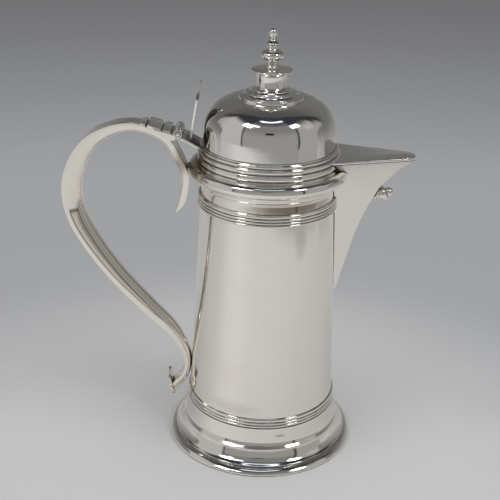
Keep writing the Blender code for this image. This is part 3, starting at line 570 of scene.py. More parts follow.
@dataclass(frozen=True)
class Silver:
    """A polished silver finish."""

    name: str
    tint: Colour = (0.940, 0.905, 0.850)
    film_tint: Colour = (0.905, 0.845, 0.745)
    groove_tint: Colour = (0.17, 0.135, 0.095)
    roughness: float = 0.055
    smear: float = 0.035
    hairlines: float = 0.03
    film: float = 0.55
    groove: float = 0.85
    groove_dulling: float = 0.30
    reach: float = 0.0022
    hairline_scale: Place = (900.0, 900.0, 60.0)
    waves: float = 0.00002
    stain_and_shade_tint: Colour = (0.36, 0.295, 0.21)
    stains_and_shades: tuple[StainAndShade, ...] = ()
    inward: bool = False
    band: DullBand | None = None

    def material(self, effects: SilverEffects) -> bpy.types.Material:
        """Builds the finish's material.

        Args:
            effects: The shared node groups.

        Returns:
            The material.
        """
        made = bpy.data.materials.new(self.name)
        made.use_nodes = True
        hand = NodeTree(made.node_tree)
        shader = made.node_tree.nodes["Principled BSDF"]
        shader.inputs["Metallic"].default_value = 1.0
        place = hand.add("TexCoord").outputs["Object"]
        tarnish_and_shade = hand.add("Group", node_tree=effects.tarnish_and_shade, in_Vector=place, in_Depth=self.groove,
                           in_Film=self.film, in_Reach=self.reach)
        polish = hand.add("Group", node_tree=effects.polish, in_Vector=place)
        polish.inputs["Hairline Scale"].default_value = self.hairline_scale
        film_stain_and_shade = hand.mix(tarnish_and_shade.outputs["Film"], (*self.tint, 1), (*self.film_tint, 1))
        faces = 1.0
        # Painted shade: when set, the dark patches fall only on faces turned towards the lid, the side in
        # shade.
        if self.inward:
            towards_lid = hand.split(hand.add("TexCoord").outputs["Normal"])[0]
            faces = hand.step(towards_lid, 0.15, 0.45)
        # Dark patches: patina on some pieces, painted shade and painted reflections on others.
        for stain in self.stains_and_shades:
            x, y, z = stain.middle
            patch = hand.add("Group", node_tree=effects.stain, in_Vector=place, in_Strength=stain.strength)
            patch.inputs["Middle"].default_value = (AXIS_X + x, y, z)
            patch.inputs["Size"].default_value = stain.size
            mask = hand.math("MULTIPLY", patch.outputs["Mask"], faces)
            film_stain_and_shade = hand.mix(mask, film_stain_and_shade, (*self.stain_and_shade_tint, 1))
        if self.band:
            marks = hand.add("Group", node_tree=effects.band, in_UV=hand.add("TexCoord").outputs["UV"])
            for label, value in self.band.places().items():
                marks.inputs[label].default_value = value
            for output, strength, tint in (("Band", self.band.band_share, self.stain_and_shade_tint),
                                           ("Edges", self.band.edge_share, self.groove_tint)):
                share = hand.math("MULTIPLY", marks.outputs[output], strength)
                film_stain_and_shade = hand.mix(share, film_stain_and_shade, (*tint, 1))
        # Grooves and corners take the dark tint: patina with painted shade from ambient occlusion.
        grooved = hand.mix(tarnish_and_shade.outputs["Groove"], film_stain_and_shade, (*self.groove_tint, 1))
        hand.feed(shader.inputs["Base Color"], grooved)
        rough = self.roughness
        for effect, strength in ((polish.outputs["Smear"], self.smear),
                                 (polish.outputs["Hairlines"], self.hairlines),
                                 (tarnish_and_shade.outputs["Groove"], self.groove_dulling)):
            rough = hand.times_plus(effect, strength, rough)
        hand.feed(shader.inputs["Roughness"], rough)
        bump = hand.add("Bump", in_Strength=1.0, in_Distance=self.waves, in_Height=polish.outputs["Waves"])
        hand.feed(shader.inputs["Normal"], bump.outputs["Normal"])
        return made


class Finishes:
    """The flagon's finishes, one material for each."""

    def __init__(self) -> None:
        """Builds every material once."""
        effects = SilverEffects()
        # Painted reflection: a dark band round the neck under the lip, where the lip's shade is mirrored.
        painted_band_under_lip = StainAndShade((0.014, -0.040, 0.1790), (0.038, 0.038, 0.0060), 0.80)
        streak = StainAndShade((0.0215, -0.037, 0.1570), (0.0050, 0.034, 0.0170), 0.30)
        ring_mark = StainAndShade((-0.018, -0.045, 0.0405), (0.024, 0.034, 0.0070), 0.20)
        lip_end = StainAndShade((-0.046, -0.018, 0.1990), (0.017, 0.030, 0.0160), 0.90)
        # Painted reflection: the dark band under the lip carried onto the lip's lower fillets.
        painted_band_on_lip_foot = StainAndShade((0.012, -0.045, 0.1818), (0.034, 0.034, 0.0035), 0.45)
        foot_mark = StainAndShade((0.0135, -0.0495, 0.0225), (0.0050, 0.0050, 0.0016), 0.60)
        # Painted reflection: the thumbpiece mirrored dark on the dome's left side.
        dome_side = StainAndShade((-0.041, -0.004, 0.2120), (0.008, 0.022, 0.0130), 0.55)
        # Patina on the leaf, darkened further by a painted reflection of the dome's dark flank.
        leaf_patina_and_reflection = StainAndShade((-0.0480, 0.0, 0.2110), (0.0130, 0.0300, 0.0110), 1.0)
        # Painted shade: the thumbpiece's face turned towards the dome.
        painted_shade_on_thumb = StainAndShade((-0.0462, 0.0, 0.2300), (0.0120, 0.0200, 0.0340), 0.90)
        # Painted shade: the crevice where the handle's top meets the lip.
        painted_crevice_shade = StainAndShade((-0.0545, 0.0, 0.1970), (0.0075, 0.024, 0.0140), 0.85)
        self.body = Silver("body_polish", reach=0.0014, stains_and_shades=(painted_band_under_lip, streak, ring_mark)).material(effects)
        self.mould = Silver("moulding_polish", film=0.35, roughness=0.05, groove=1.0, reach=0.0032,
                            stains_and_shades=(lip_end, painted_band_on_lip_foot, foot_mark)).material(effects)
        self.finial = Silver("finial_polish", film=0.30, roughness=0.05, groove=1.0,
                             reach=0.0040).material(effects)
        self.lid = Silver("lid_polish", tint=(0.935, 0.908, 0.865), film=0.25, roughness=0.045,
                          hairline_scale=(500.0, 500.0, 500.0), stains_and_shades=(dome_side,)).material(effects)
        bow_band = DullBand(crest=1 / 3, middle=0.247, half=0.052, start=0.590, end=0.775, edge=0.012,
                            band_share=0.36, edge_share=1.0)
        self.handle = Silver("handle_polish", tint=(0.905, 0.862, 0.785), film=0.70, roughness=0.085,
                             hairline_scale=(300.0, 900.0, 300.0), stains_and_shades=(painted_crevice_shade,),
                             band=bow_band).material(effects)
        # The hinge's very dark patch tint paints shade and reflections on the leaf and thumbpiece.
        self.hinge = Silver("hinge_polish", tint=(0.92, 0.89, 0.84), roughness=0.11, smear=0.06, film=0.5,
                            groove=1.0, stain_and_shade_tint=(0.11, 0.092, 0.07), stains_and_shades=(leaf_patina_and_reflection, painted_shade_on_thumb),
                            inward=True).material(effects)
        self.inner = Silver("inner_polish", tint=(0.90, 0.875, 0.82), roughness=0.17, smear=0.10,
                            film=0.8).material(effects)


class Workshop:
    """Sets finished pieces on the frame."""

    def __init__(self) -> None:
        """Makes the finishes."""
        self.finishes = Finishes()

    def hand_over(self, obj: Object, node: str, body: Body, finish: bpy.types.Material,
                  angle: float = 32.0) -> Object:
        """Shades a piece, dresses it and lets it stand for a node of the frame.

        Args:
            obj: The piece.
            node: The node that it replaces.
            body: The body that it rides on.
            finish: Its material.
            angle: Smooth shading ends at edges sharper than this.

        Returns:
            The piece.
        """
        Bench.smooth(obj, angle)
        obj.data.materials.clear()
        obj.data.materials.append(finish)
        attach(obj, body.value)
        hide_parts(node)
        triangles = sum(len(face.vertices) - 2 for face in obj.data.polygons)
        LOG.info("%s stands for %s, %d triangles", obj.name, node, triangles)
        return obj


@dataclass
class Barrel:
    """The tapered barrel with its floor and two reeded bands."""

    mouth_height: float = 0.2012
    mouth_radius: float = 0.0417
    bottom: float = 0.0195
    base_radius: float = 0.0497
    wall: float = 0.0011
    floor: float = 0.0013
    lower_reeds: tuple[float, ...] = (0.0022, 0.0020, 0.0027)
    upper_reeds: tuple[float, ...] = (0.0018, 0.0018, 0.0019, 0.0025)
    lower_band: float = 0.0282
    upper_band: float = 0.1681
    bulge: float = 0.0008
    lower_face: float = 0.0004
    upper_face: float = 0.0011
    groove: float = 0.0003

    def radius(self, height: float) -> float:
        """Outer radius at a height."""
        share = (height - self.bottom) / (self.mouth_height - self.bottom)
        return self.base_radius + share * (self.mouth_radius - self.base_radius)

    def shell(self) -> Outline:
        """Outline of the barrel's wall."""
        inner = self.wall
        outer = [(self.radius(z), z) for z in np.linspace(self.mouth_height, self.bottom, 24)]
        profile = Profile(self.mouth_radius - inner, self.mouth_height)
        for radius, height in outer:
            profile.to(radius, height)
        profile.to(self.base_radius - inner, self.bottom)
        for radius, height in outer[-2:0:-1]:
            profile.to(radius - inner, height)
        profile.to(self.mouth_radius - inner, self.mouth_height)
        return profile.rounded(0.0003)

    def reeds(self, bottom: float, heights: tuple[float, ...], face: float) -> Outline:
        """Outline of a band of half-round reeds.

        Args:
            bottom: Height of its lower edge.
            heights: Height of each reed from the lowest up.
            face: How far the grooves stand out from the barrel.

        Returns:
            The outline.
        """
        top = bottom + sum(heights)
        profile = Profile(self.radius(bottom), bottom)
        level = bottom
        for height in heights:
            base = self.radius(level + height / 2) + face
            profile.to(base - self.groove, level)
            profile.arc((base, level + height / 2), (self.bulge, 0.44 * height), -80, 80, 11)
            level += height
            profile.to(base - self.groove, level)
        return profile.to(self.radius(top), top).to(self.radius(bottom), bottom).points

    def base(self) -> Outline:
        """Outline of the vessel's floor."""
        inner = self.base_radius - self.wall - GAP / 2
        top = self.bottom + self.floor
        profile = Profile(0, top).to(inner - 3.2 * self.floor, top)
        profile.curve([(inner - 1.6 * self.floor, top + 0.3 * self.floor),
                       (inner - 0.2 * self.floor, top + 1.6 * self.floor)])
        return profile.to(inner, top + self.floor).to(inner, self.bottom).to(0, self.bottom).points

    def build(self, shop: Workshop, spout: "Spout") -> None:
        """Builds and dresses the barrel.

        Args:
            shop: Where pieces are handed over.
            spout: The spout that opens into the barrel.
        """
        wall = Bench.turn("barrel_wall", self.shell(), 192)
        Bench.cut(wall, spout.channel())
        shop.hand_over(wall, "body_barrel", Body.VESSEL, shop.finishes.body)
        floor = Bench.turn("barrel_floor", self.base(), 128)
        shop.hand_over(floor, "base_disc", Body.VESSEL, shop.finishes.inner)
        lower = Bench.turn("lower_reeds", self.reeds(self.lower_band, self.lower_reeds, self.lower_face), 192)
        shop.hand_over(lower, "lower_reeded_band", Body.VESSEL, shop.finishes.mould, 50)
        upper = Bench.turn("upper_reeds", self.reeds(self.upper_band, self.upper_reeds, self.upper_face), 192)
        Bench.cut(upper, spout.solid("band_clearance", spout.seam))
        shop.hand_over(upper, "upper_reeded_band", Body.VESSEL, shop.finishes.mould, 50)


@dataclass
class Foot:
    """The spun foot and the wire that it stands on."""

    radius: float = 0.0638
    wall: float = 0.0008
    top: float = 0.0281
    collar: float = 0.0505
    bead: float = 0.0536
    bead_height: float = 0.0133
    bead_gap: float = 0.0014
    ledge: float = 0.0590
    ledge_height: float = 0.0046
    collar_height: float = 0.0060
    rim_width: float = 0.0058
    first_sweep: Points = ((0.0002, 0.0057), (0.0006, 0.0039), (0.0013, 0.0024), (0.0023, 0.0014))
    bead_round: Points = ((-0.0002, 0.0008), (0.0, 0.0), (-0.0001, -0.0009))
    second_sweep: Points = ((0.09, 0.24), (0.24, 0.46), (0.44, 0.64), (0.68, 0.81))
    ledge_start: Point = (-0.0004, 0.0005)
    ledge_round: Points = ((0.0, 0.0002), (0.0, -0.0002))

    def skirt(self) -> Outline:
        """Outline of the skirt: a collar swept out to a bead, a second sweep, an edge and the inside."""
        seat = self.top - self.collar_height
        start = self.bead_height - self.bead_gap
        first = shifted(self.first_sweep, self.collar, self.bead_height)
        bead = shifted(self.bead_round, self.bead, self.bead_height)
        second = [(self.bead + x * (self.ledge - self.bead), start - y * (start - self.ledge_height))
                  for x, y in self.second_sweep]
        second += shifted((self.ledge_start,), self.ledge, self.ledge_height)
        profile = Profile(self.collar - self.wall, self.top).to(self.collar, self.top)
        profile.to(self.collar, seat).curve(first, 8).curve(bead, 6)
        profile.to(self.bead - self.wall / 2, start).curve(second, 6)
        profile.curve(shifted(self.ledge_round, self.ledge, self.ledge_height), 4)
        for radius, height in (*second[::-1], *bead[::-1], *first[::-1]):
            profile.to(min(radius - 1.5 * self.wall, self.ledge - 2 * self.wall), height - self.wall)
        return profile.to(self.collar - self.wall, seat).to(self.collar - self.wall, self.top).points

    def rim(self) -> Outline:
        """Outline of the wire: a flat underside, a rounded edge and a slope up to the ledge."""
        inner = self.radius - self.rim_width
        height = self.ledge_height
        profile = Profile(inner, 0).to(inner, height - 0.0010).to(self.ledge - 0.0002, height - 0.0006)
        profile.to(self.ledge + 0.0003, height - 0.0004)
        profile.curve([(self.ledge + 0.0020, 0.80 * height), (self.radius - 0.0014, 0.60 * height),
                       (self.radius - 0.0003, 0.36 * height), (self.radius, 0.16 * height)], 8)
        return profile.to(self.radius - 0.0003, 0).to(inner, 0).rounded(0.0002)

    def build(self, shop: Workshop) -> None:
        """Builds and dresses the foot."""
        for name, outline, node in (("foot_mouldings", self.skirt(), "foot_skirt"),
                                    ("foot_wire", self.rim(), "foot_rim")):
            piece = Bench.turn(name, outline, 192)
            shop.hand_over(piece, node, Body.VESSEL, shop.finishes.mould, 40)


@dataclass
class Lip:
    """The moulded lip round the mouth."""

    mouth_height: float = 0.2012
    bottom: float = 0.1807
    collar: float = 0.0447
    bead: float = 0.0514
    bead_middle: Point = (0.0473, 0.1916)
    bead_half_height: float = 0.0042
    reed: Point = (0.0009, 0.0021)
    hollow: Points = ((0.0446, 0.1962), (0.0454, 0.1949))
    bead_top: Point = (0.0461, 0.1950)
    bead_foot: Points = ((0.0496, 0.1882), (0.0485, 0.1876))
    steps: tuple[Points, ...] = (((0.0473, 0.1875), (0.0465, 0.1868), (0.0461, 0.1859)),
                                 ((0.0453, 0.1857), (0.0448, 0.1848), (0.0447, 0.1838)))
    fillet: Points = ((0.0438, 0.1836), (0.0431, 0.1824))

    def outline(self, barrel: Barrel) -> Outline:
        """Outline of the lip: a reed under the mouth, a groove, a broad bead, an ogee and fillets.

        Args:
            barrel: The barrel that it wraps.

        Returns:
            The outline.
        """
        top = self.mouth_height
        profile = Profile(barrel.mouth_radius, top).to(self.collar - 0.0006, top)
        profile.arc((self.collar - 0.0004, top - 0.0023), self.reed, 78, -80, 14)
        profile.curve(list(self.hollow), 5).to(*self.bead_top)
        profile.arc(self.bead_middle, (self.bead - self.bead_middle[0], self.bead_half_height), 104, -34, 26)
        profile.curve(list(self.bead_foot), 5)
        for edge, *sweep in self.steps:
            profile.to(*edge).curve(sweep, 4)
        low, (start, bend) = barrel.radius(self.bottom), self.fillet
        profile.to(*start).curve([bend, (low + 0.0002, self.bottom)], 5)
        return profile.to(low, self.bottom).to(barrel.mouth_radius, top).rounded(0.0002)

    def build(self, shop: Workshop, barrel: Barrel, spout: "Spout") -> None:
        """Builds and dresses the lip, cut through where the spout passes."""
        piece = Bench.turn("lip_mouldings", self.outline(barrel), 192)
        Bench.cut(piece, spout.solid("lip_clearance", spout.seam))
        shop.hand_over(piece, "lip_moulding", Body.VESSEL, shop.finishes.mould, 40)


@dataclass
class Spout:
    """The V-shaped spout and the turned drop on its front edge."""

    barrel: Barrel
    reach: float = 0.0922
    height: float = 0.0922
    toe: float = 0.0020
    sweep: float = 0.0225
    sweep_power: float = 4.5
    wall: float = 0.0011
    half_angle: float = math.radians(15.8)
    nose_radius: float = 0.0078
    keel_radius: float = 0.0009
    nose_power: int = 10
    back: float = 0.0292
    channel_back: float = 0.0125
    sill: float = 0.0120
    seam: float = 0.0004
    drop_below: float = 0.0272
    drop_length: float = 0.0114
    drop_radius: float = 0.0043
    drop_bead: float = 0.0031
    drop_tilt: float = math.radians(23.4)

    @property
    def bottom(self) -> float:
        """Height of the spout's toe."""
        return self.barrel.mouth_height - self.height

    def keel(self, share: float) -> float:
        """How far out the front edge lies, from the toe (0) to the mouth (1)."""
        toe = self.barrel.radius(self.bottom) + self.toe
        return toe + (self.reach - toe - self.sweep) * share + self.sweep * share ** self.sweep_power

    def section(self, share: float, margin: float, back: float, count: int = 19) -> Outline:
        """Outline in plan at one level: two flat sides that meet in a rounded nose.

        Args:
            share: The level, from the toe (0) to the mouth (1).
            margin: How far the outline is grown.
            back: How far from the axis the sides start.
            count: Points round the nose.

        Returns:
            The outline about the barrel's axis.
        """
        nose = self.keel_radius + (self.nose_radius - self.keel_radius) * share ** self.nose_power
        radius = max(nose + margin, 0.25 * self.keel_radius)
        centre = self.keel(share) - nose - (radius - nose - margin) / math.sin(self.half_angle)
        swing = math.pi / 2 - self.half_angle
        turns = np.linspace(-swing, swing, count)
        nose_points = [(centre + radius * math.cos(a), radius * math.sin(a)) for a in turns]
        x, y = nose_points[-1]
        half = y + (x - back) * math.tan(self.half_angle)
        steps = np.linspace(0, 1, 9)[1:-1]
        near = [(back + (x - back) * t, -half + (half - y) * t) for t in steps]
        far = [(px, -py) for px, py in near[::-1]]
        return [(back, -half), *near, *nose_points, *far, (back, half)]

    def solid(self, name: str, margin: float, back: float | None = None, first: float = 0.0,
              rise: float = 0.004) -> Object:
        """The spout's filled form.

        Args:
            name: The object's name.
            margin: How far it is grown.
            back: How far from the axis its sides start, if not where the spout's own do.
            first: The level that it starts from.
            rise: How far it goes on above the mouth.

        Returns:
            The solid.
        """
        shares = [first + (1 - first) * math.sin(math.pi / 2 * t) for t in np.linspace(0, 1, 48)]
        levels = [(share, self.bottom + share * self.height) for share in shares]
        if rise:
            levels.append((1.0, self.barrel.mouth_height + rise))
        start = self.back if back is None else back
        return Bench.loft(name, [[Vector((AXIS_X + x, y, z)) for x, y in self.section(share, margin, start)]
                                 for share, z in levels])

    def channel(self) -> Object:
        """The hollow of the spout."""
        return self.solid("spout_channel", -self.wall, self.channel_back, self.sill / self.height, 0.006)

    def drop(self) -> Object:
        """The turned cup and bead, on a short stem, set on the front edge."""
        length, bead, cup = self.drop_length, self.drop_bead, self.drop_radius
        profile = Profile(0, length + 0.62 * bead).to(0.10 * bead, length + 0.62 * bead)
        profile.curve([(0.22 * bead, length + 0.52 * bead), (0.42 * bead, length + 0.46 * bead)], 4)
        profile.arc((0, length - 0.45 * bead), (bead, bead), 62, -64, 20)
        profile.to(0.45 * cup, length - 1.42 * bead).to(0.80 * cup, length - 1.04 * bead)
        profile.arc((0.89 * cup, length - 1.02 * bead), (0.11 * cup, 0.14 * bead), 160, -40, 8)
        profile.curve([(0.97 * cup, 0.60 * length), (0.88 * cup, 0.44 * length), (0.58 * cup, 0.29 * length),
                       (0.28 * cup, 0.16 * length), (0.18 * cup, -0.10 * length)], 5)
        profile.to(0.15 * cup, -0.6 * length).to(0, -0.6 * length)
        piece = Bench.turn("spout_drop_bead", profile.rounded(0.00015), 64, 0.0)
        share = 1 - self.drop_below / self.height
        place = Matrix.Translation((AXIS_X + self.keel(share), 0, self.barrel.mouth_height - self.drop_below))
        piece.data.transform(place @ Matrix.Rotation(math.pi / 2 - self.drop_tilt, 4, "Y"))
        return piece

    def seat(self, seam: float = 0.0) -> Object:
        """The barrel's outside as a solid, grown by the seam, for cutting what seats on it."""
        top, bottom = self.barrel.mouth_height + 0.006, self.barrel.bottom
        outline = [(0, top), (self.barrel.radius(top) + seam, top),
                   (self.barrel.radius(bottom) + seam, bottom), (0, bottom)]
        return Bench.turn("barrel_seat", outline, 192)

    def build(self, shop: Workshop) -> None:
        """Builds and dresses the spout and its drop."""
        piece = self.solid("spout_beak", 0.0, rise=0.0)
        Bench.cut(piece, self.channel())
        Bench.cut(piece, self.seat(self.seam))
        shop.hand_over(piece, "spout", Body.VESSEL, shop.finishes.body, 28)
        drop = Bench.cut(self.drop(), self.solid("drop_clearance", 0.0))
        shop.hand_over(drop, "spout_drop", Body.VESSEL, shop.finishes.mould, 40)


@dataclass
class Handle:
    """The hollow scroll handle with its outer strip and end shield."""

    barrel: Barrel
    reach: float = 0.0695
    crest: float = 0.2164
    lip_height: float = 0.1926
    lip_radius: float = 0.0514
    hinge_out: float = 0.0569
    low_seat: float = 0.0500
    wall: float = 0.0011
    width: float = 0.0130
    bow_depth: float = 0.0124
    seat_depth: float = 0.0042
    bow_power: float = 0.72
    thinnest: float = 0.26
    shield_lean: float = math.radians(10.5)
    shield_height: float = 0.0205
    shield_width: float = 0.0150
    shield_thickness: float = 0.0015
    shield_insets: Points = ((0.0014, -0.0004), (0.0012, 0.0005))

    def stations(self) -> list[list[float]]:
        """The handle's line: x about the barrel's axis, height, depth and width at each station."""
        shares = (
            (0.048, 0.768, 0.09, 0.20), (-0.011, 0.826, 0.39, 0.55), (-0.053, 0.916, 0.44, 0.78),
            (-0.042, 0.974, 0.44, 0.90), (0.016, 1.228, 0.45, 1.00), (0.113, 1.659, 0.47, 1.00),
            (0.271, 1.916, 0.50, 1.00), (0.447, 2.000, 0.54, 1.00), (0.622, 1.874, 0.62, 1.00),
            (0.799, 1.545, 0.80, 1.00), (0.927, 0.997, 0.95, 1.00), (1.000, 0.876, 1.00, 1.00),
            (0.978, 0.749, 0.96, 1.00), (0.859, 0.618, 0.92, 1.00), (0.637, 0.452, 0.85, 0.97),
            (0.363, 0.295, 0.76, 0.92), (0.142, 0.177, 0.64, 0.86), (0.034, 0.083, 0.46, 0.78),
        )
        low = self.barrel.radius(self.low_seat) + self.seat_depth / 2
        rows = []
        for out, up, depth, width in shares:
            seat = low + (self.hinge_out - low) * min(up, 1.0)
            height = float(np.interp(up, (0, 1, 2), (self.low_seat, self.lip_height, self.crest)))
            rows.append([-(seat + out * self.reach), height, depth * self.bow_depth, width * self.width])
        # The upper end moves as one, so that its fourth station lies against the lip.
        shift = -(self.lip_radius + rows[3][2] / 2) - rows[3][0]
        for row in rows[:5]:
            row[0] += shift
        depth, width = self.seat_depth, 0.70 * self.width
        rows.append([-low, self.low_seat, depth, width])
        rows.append([-low - 0.55 * depth, self.low_seat - 2.6 * depth, 1.15 * depth, width])
        rows.append([-low - 2.45 * depth, self.low_seat - 5.0 * depth, 1.75 * depth, width])
        return rows

    def frames(self, steps: int = 8) -> tuple[np.ndarray, np.ndarray]:
        """The handle's smooth line and its outward direction at each point."""
        line = smooth_line(self.stations(), steps)
        along = np.gradient(line[:, :2], axis=0)
        along /= np.linalg.norm(along, axis=1)[:, None]
        end = np.array((-math.cos(self.shield_lean), -math.sin(self.shield_lean)))
        for i in range(steps):
            share = 1 - i / steps
            along[-1 - i] = along[-1 - i] * (1 - share) + end * share
        along /= np.linalg.norm(along, axis=1)[:, None]
        return line, np.stack([along[:, 1], -along[:, 0]], axis=1)

    def sweep(self, name: str, section: Section) -> Object:
        """Skins a section along the handle's line.

        Args:
            name: The object's name.
            section: A function of depth and width that gives (across, outward) points.

        Returns:
            The swept piece.
        """
        rings = []
        for (x, z, depth, width), (out_x, out_z) in zip(*self.frames()):
            ring = section(depth, width)
            rings.append([Vector((AXIS_X + x + v * out_x, u, z + v * out_z)) for u, v in ring])
        return Bench.loft(name, rings)

    def wall_at(self, depth: float) -> float:
        """The wall's thickness, which is less where the handle is shallow."""
        return min(self.wall, self.thinnest * depth)

    def bow(self, depth: float, width: float, count: int = 33) -> Outline:
        """The rounded inner side of the handle's section, from one edge round to the other."""
        points = []
        for angle in np.linspace(0, math.pi, count):
            across = math.copysign(abs(math.cos(angle)) ** self.bow_power, math.cos(angle))
            points.append((width / 2 * across, depth / 2 - depth * abs(math.sin(angle)) ** self.bow_power))
        return points

    def shell_section(self, depth: float, width: float) -> Outline:
        """The shell's section: the rounded inner side, and a shallow recess for the strip outside."""
        wall = self.wall_at(depth)
        half, high = width / 2, depth / 2
        edge = [(-half + 0.10 * wall, high + 0.08 * wall), (-half + 0.8 * wall, high + 0.08 * wall),
                (-half + wall, high - 0.22 * wall)]
        floor = [(x, high - 0.22 * wall) for x in np.linspace(-half + 1.5 * wall, half - 1.5 * wall, 9)]
        return [*self.bow(depth, width), *edge, *floor, *[(-x, y) for x, y in edge[::-1]]]

    def strip_section(self, depth: float, width: float) -> Outline:
        """The strip's section, a flat plate with eased edges."""
        wall = self.wall_at(depth)
        half = max(width / 2 - 1.18 * wall, 0.2 * width)
        high, under = depth / 2 + 0.06 * wall, depth / 2 - 0.5 * wall
        flat = [(x, high) for x in np.linspace(-half + 0.15 * wall, half - 0.15 * wall, 8)]
        return [(-half, high - 0.15 * wall), *flat, (half, high - 0.15 * wall), (half, under), (-half, under)]

    def shield(self) -> Object:
        """The shield-shaped plate at the handle's lower end, with a scalloped edge and a raised boss."""
        half, high, low = self.shield_width / 2, 0.65 * self.shield_height, 0.35 * self.shield_height
        above = ((0, 0.84), (0.22, 0.93), (0.50, 0.97), (0.62, 0.80), (0.84, 0.84), (1, 0.60), (0.86, 0.34),
                 (0.97, 0.06))
        below = ((0.86, -0.30), (0.52, -0.66), (0.20, -0.84), (0, -1))
        outline = smooth_line(scaled(above, half, high) + scaled(below, half, low), 5).tolist()
        outline += [[-x, y] for x, y in outline[-2:0:-1]]
        piece = Bench.plate("handle_shield", outline, self.shield_thickness)
        bpy.ops.object.mode_set(mode="EDIT")
        bpy.ops.mesh.select_all(action="DESELECT")
        form = bmesh.from_edit_mesh(piece.data)
        for face in form.faces:
            face.select_set(len(face.verts) > 4 and face.normal.z > 0.5)
        bmesh.update_edit_mesh(piece.data)
        for width, rise in self.shield_insets:
            bpy.ops.mesh.inset(thickness=width, depth=rise)
        Bench.close(piece)
        Bench.bevel(piece, 0.00025)
        line, _ = self.frames()
        x, z = line[-1, :2]
        clear = GAP / 2 + self.shield_thickness / 2
        place = Matrix.Translation((AXIS_X + x - clear * math.cos(self.shield_lean), 0,
                                    z - clear * math.sin(self.shield_lean)))
        piece.data.transform(place @ stood_up(self.shield_lean))
        return piece

    def build(self, shop: Workshop, spout: Spout) -> None:
        """Builds and dresses the handle."""
        shell = self.sweep("handle_tube", self.shell_section)
        seat = spout.seat()
        Bench.cut(shell, seat, keep=True)
        strip = Bench.cut(self.sweep("handle_outer_strip", self.strip_section), seat)
        for piece, node in ((shell, "handle_shell"), (strip, "handle_strip"),
                            (self.shield(), "handle_end_shield")):
            shop.hand_over(piece, node, Body.VESSEL, shop.finishes.handle, 40)


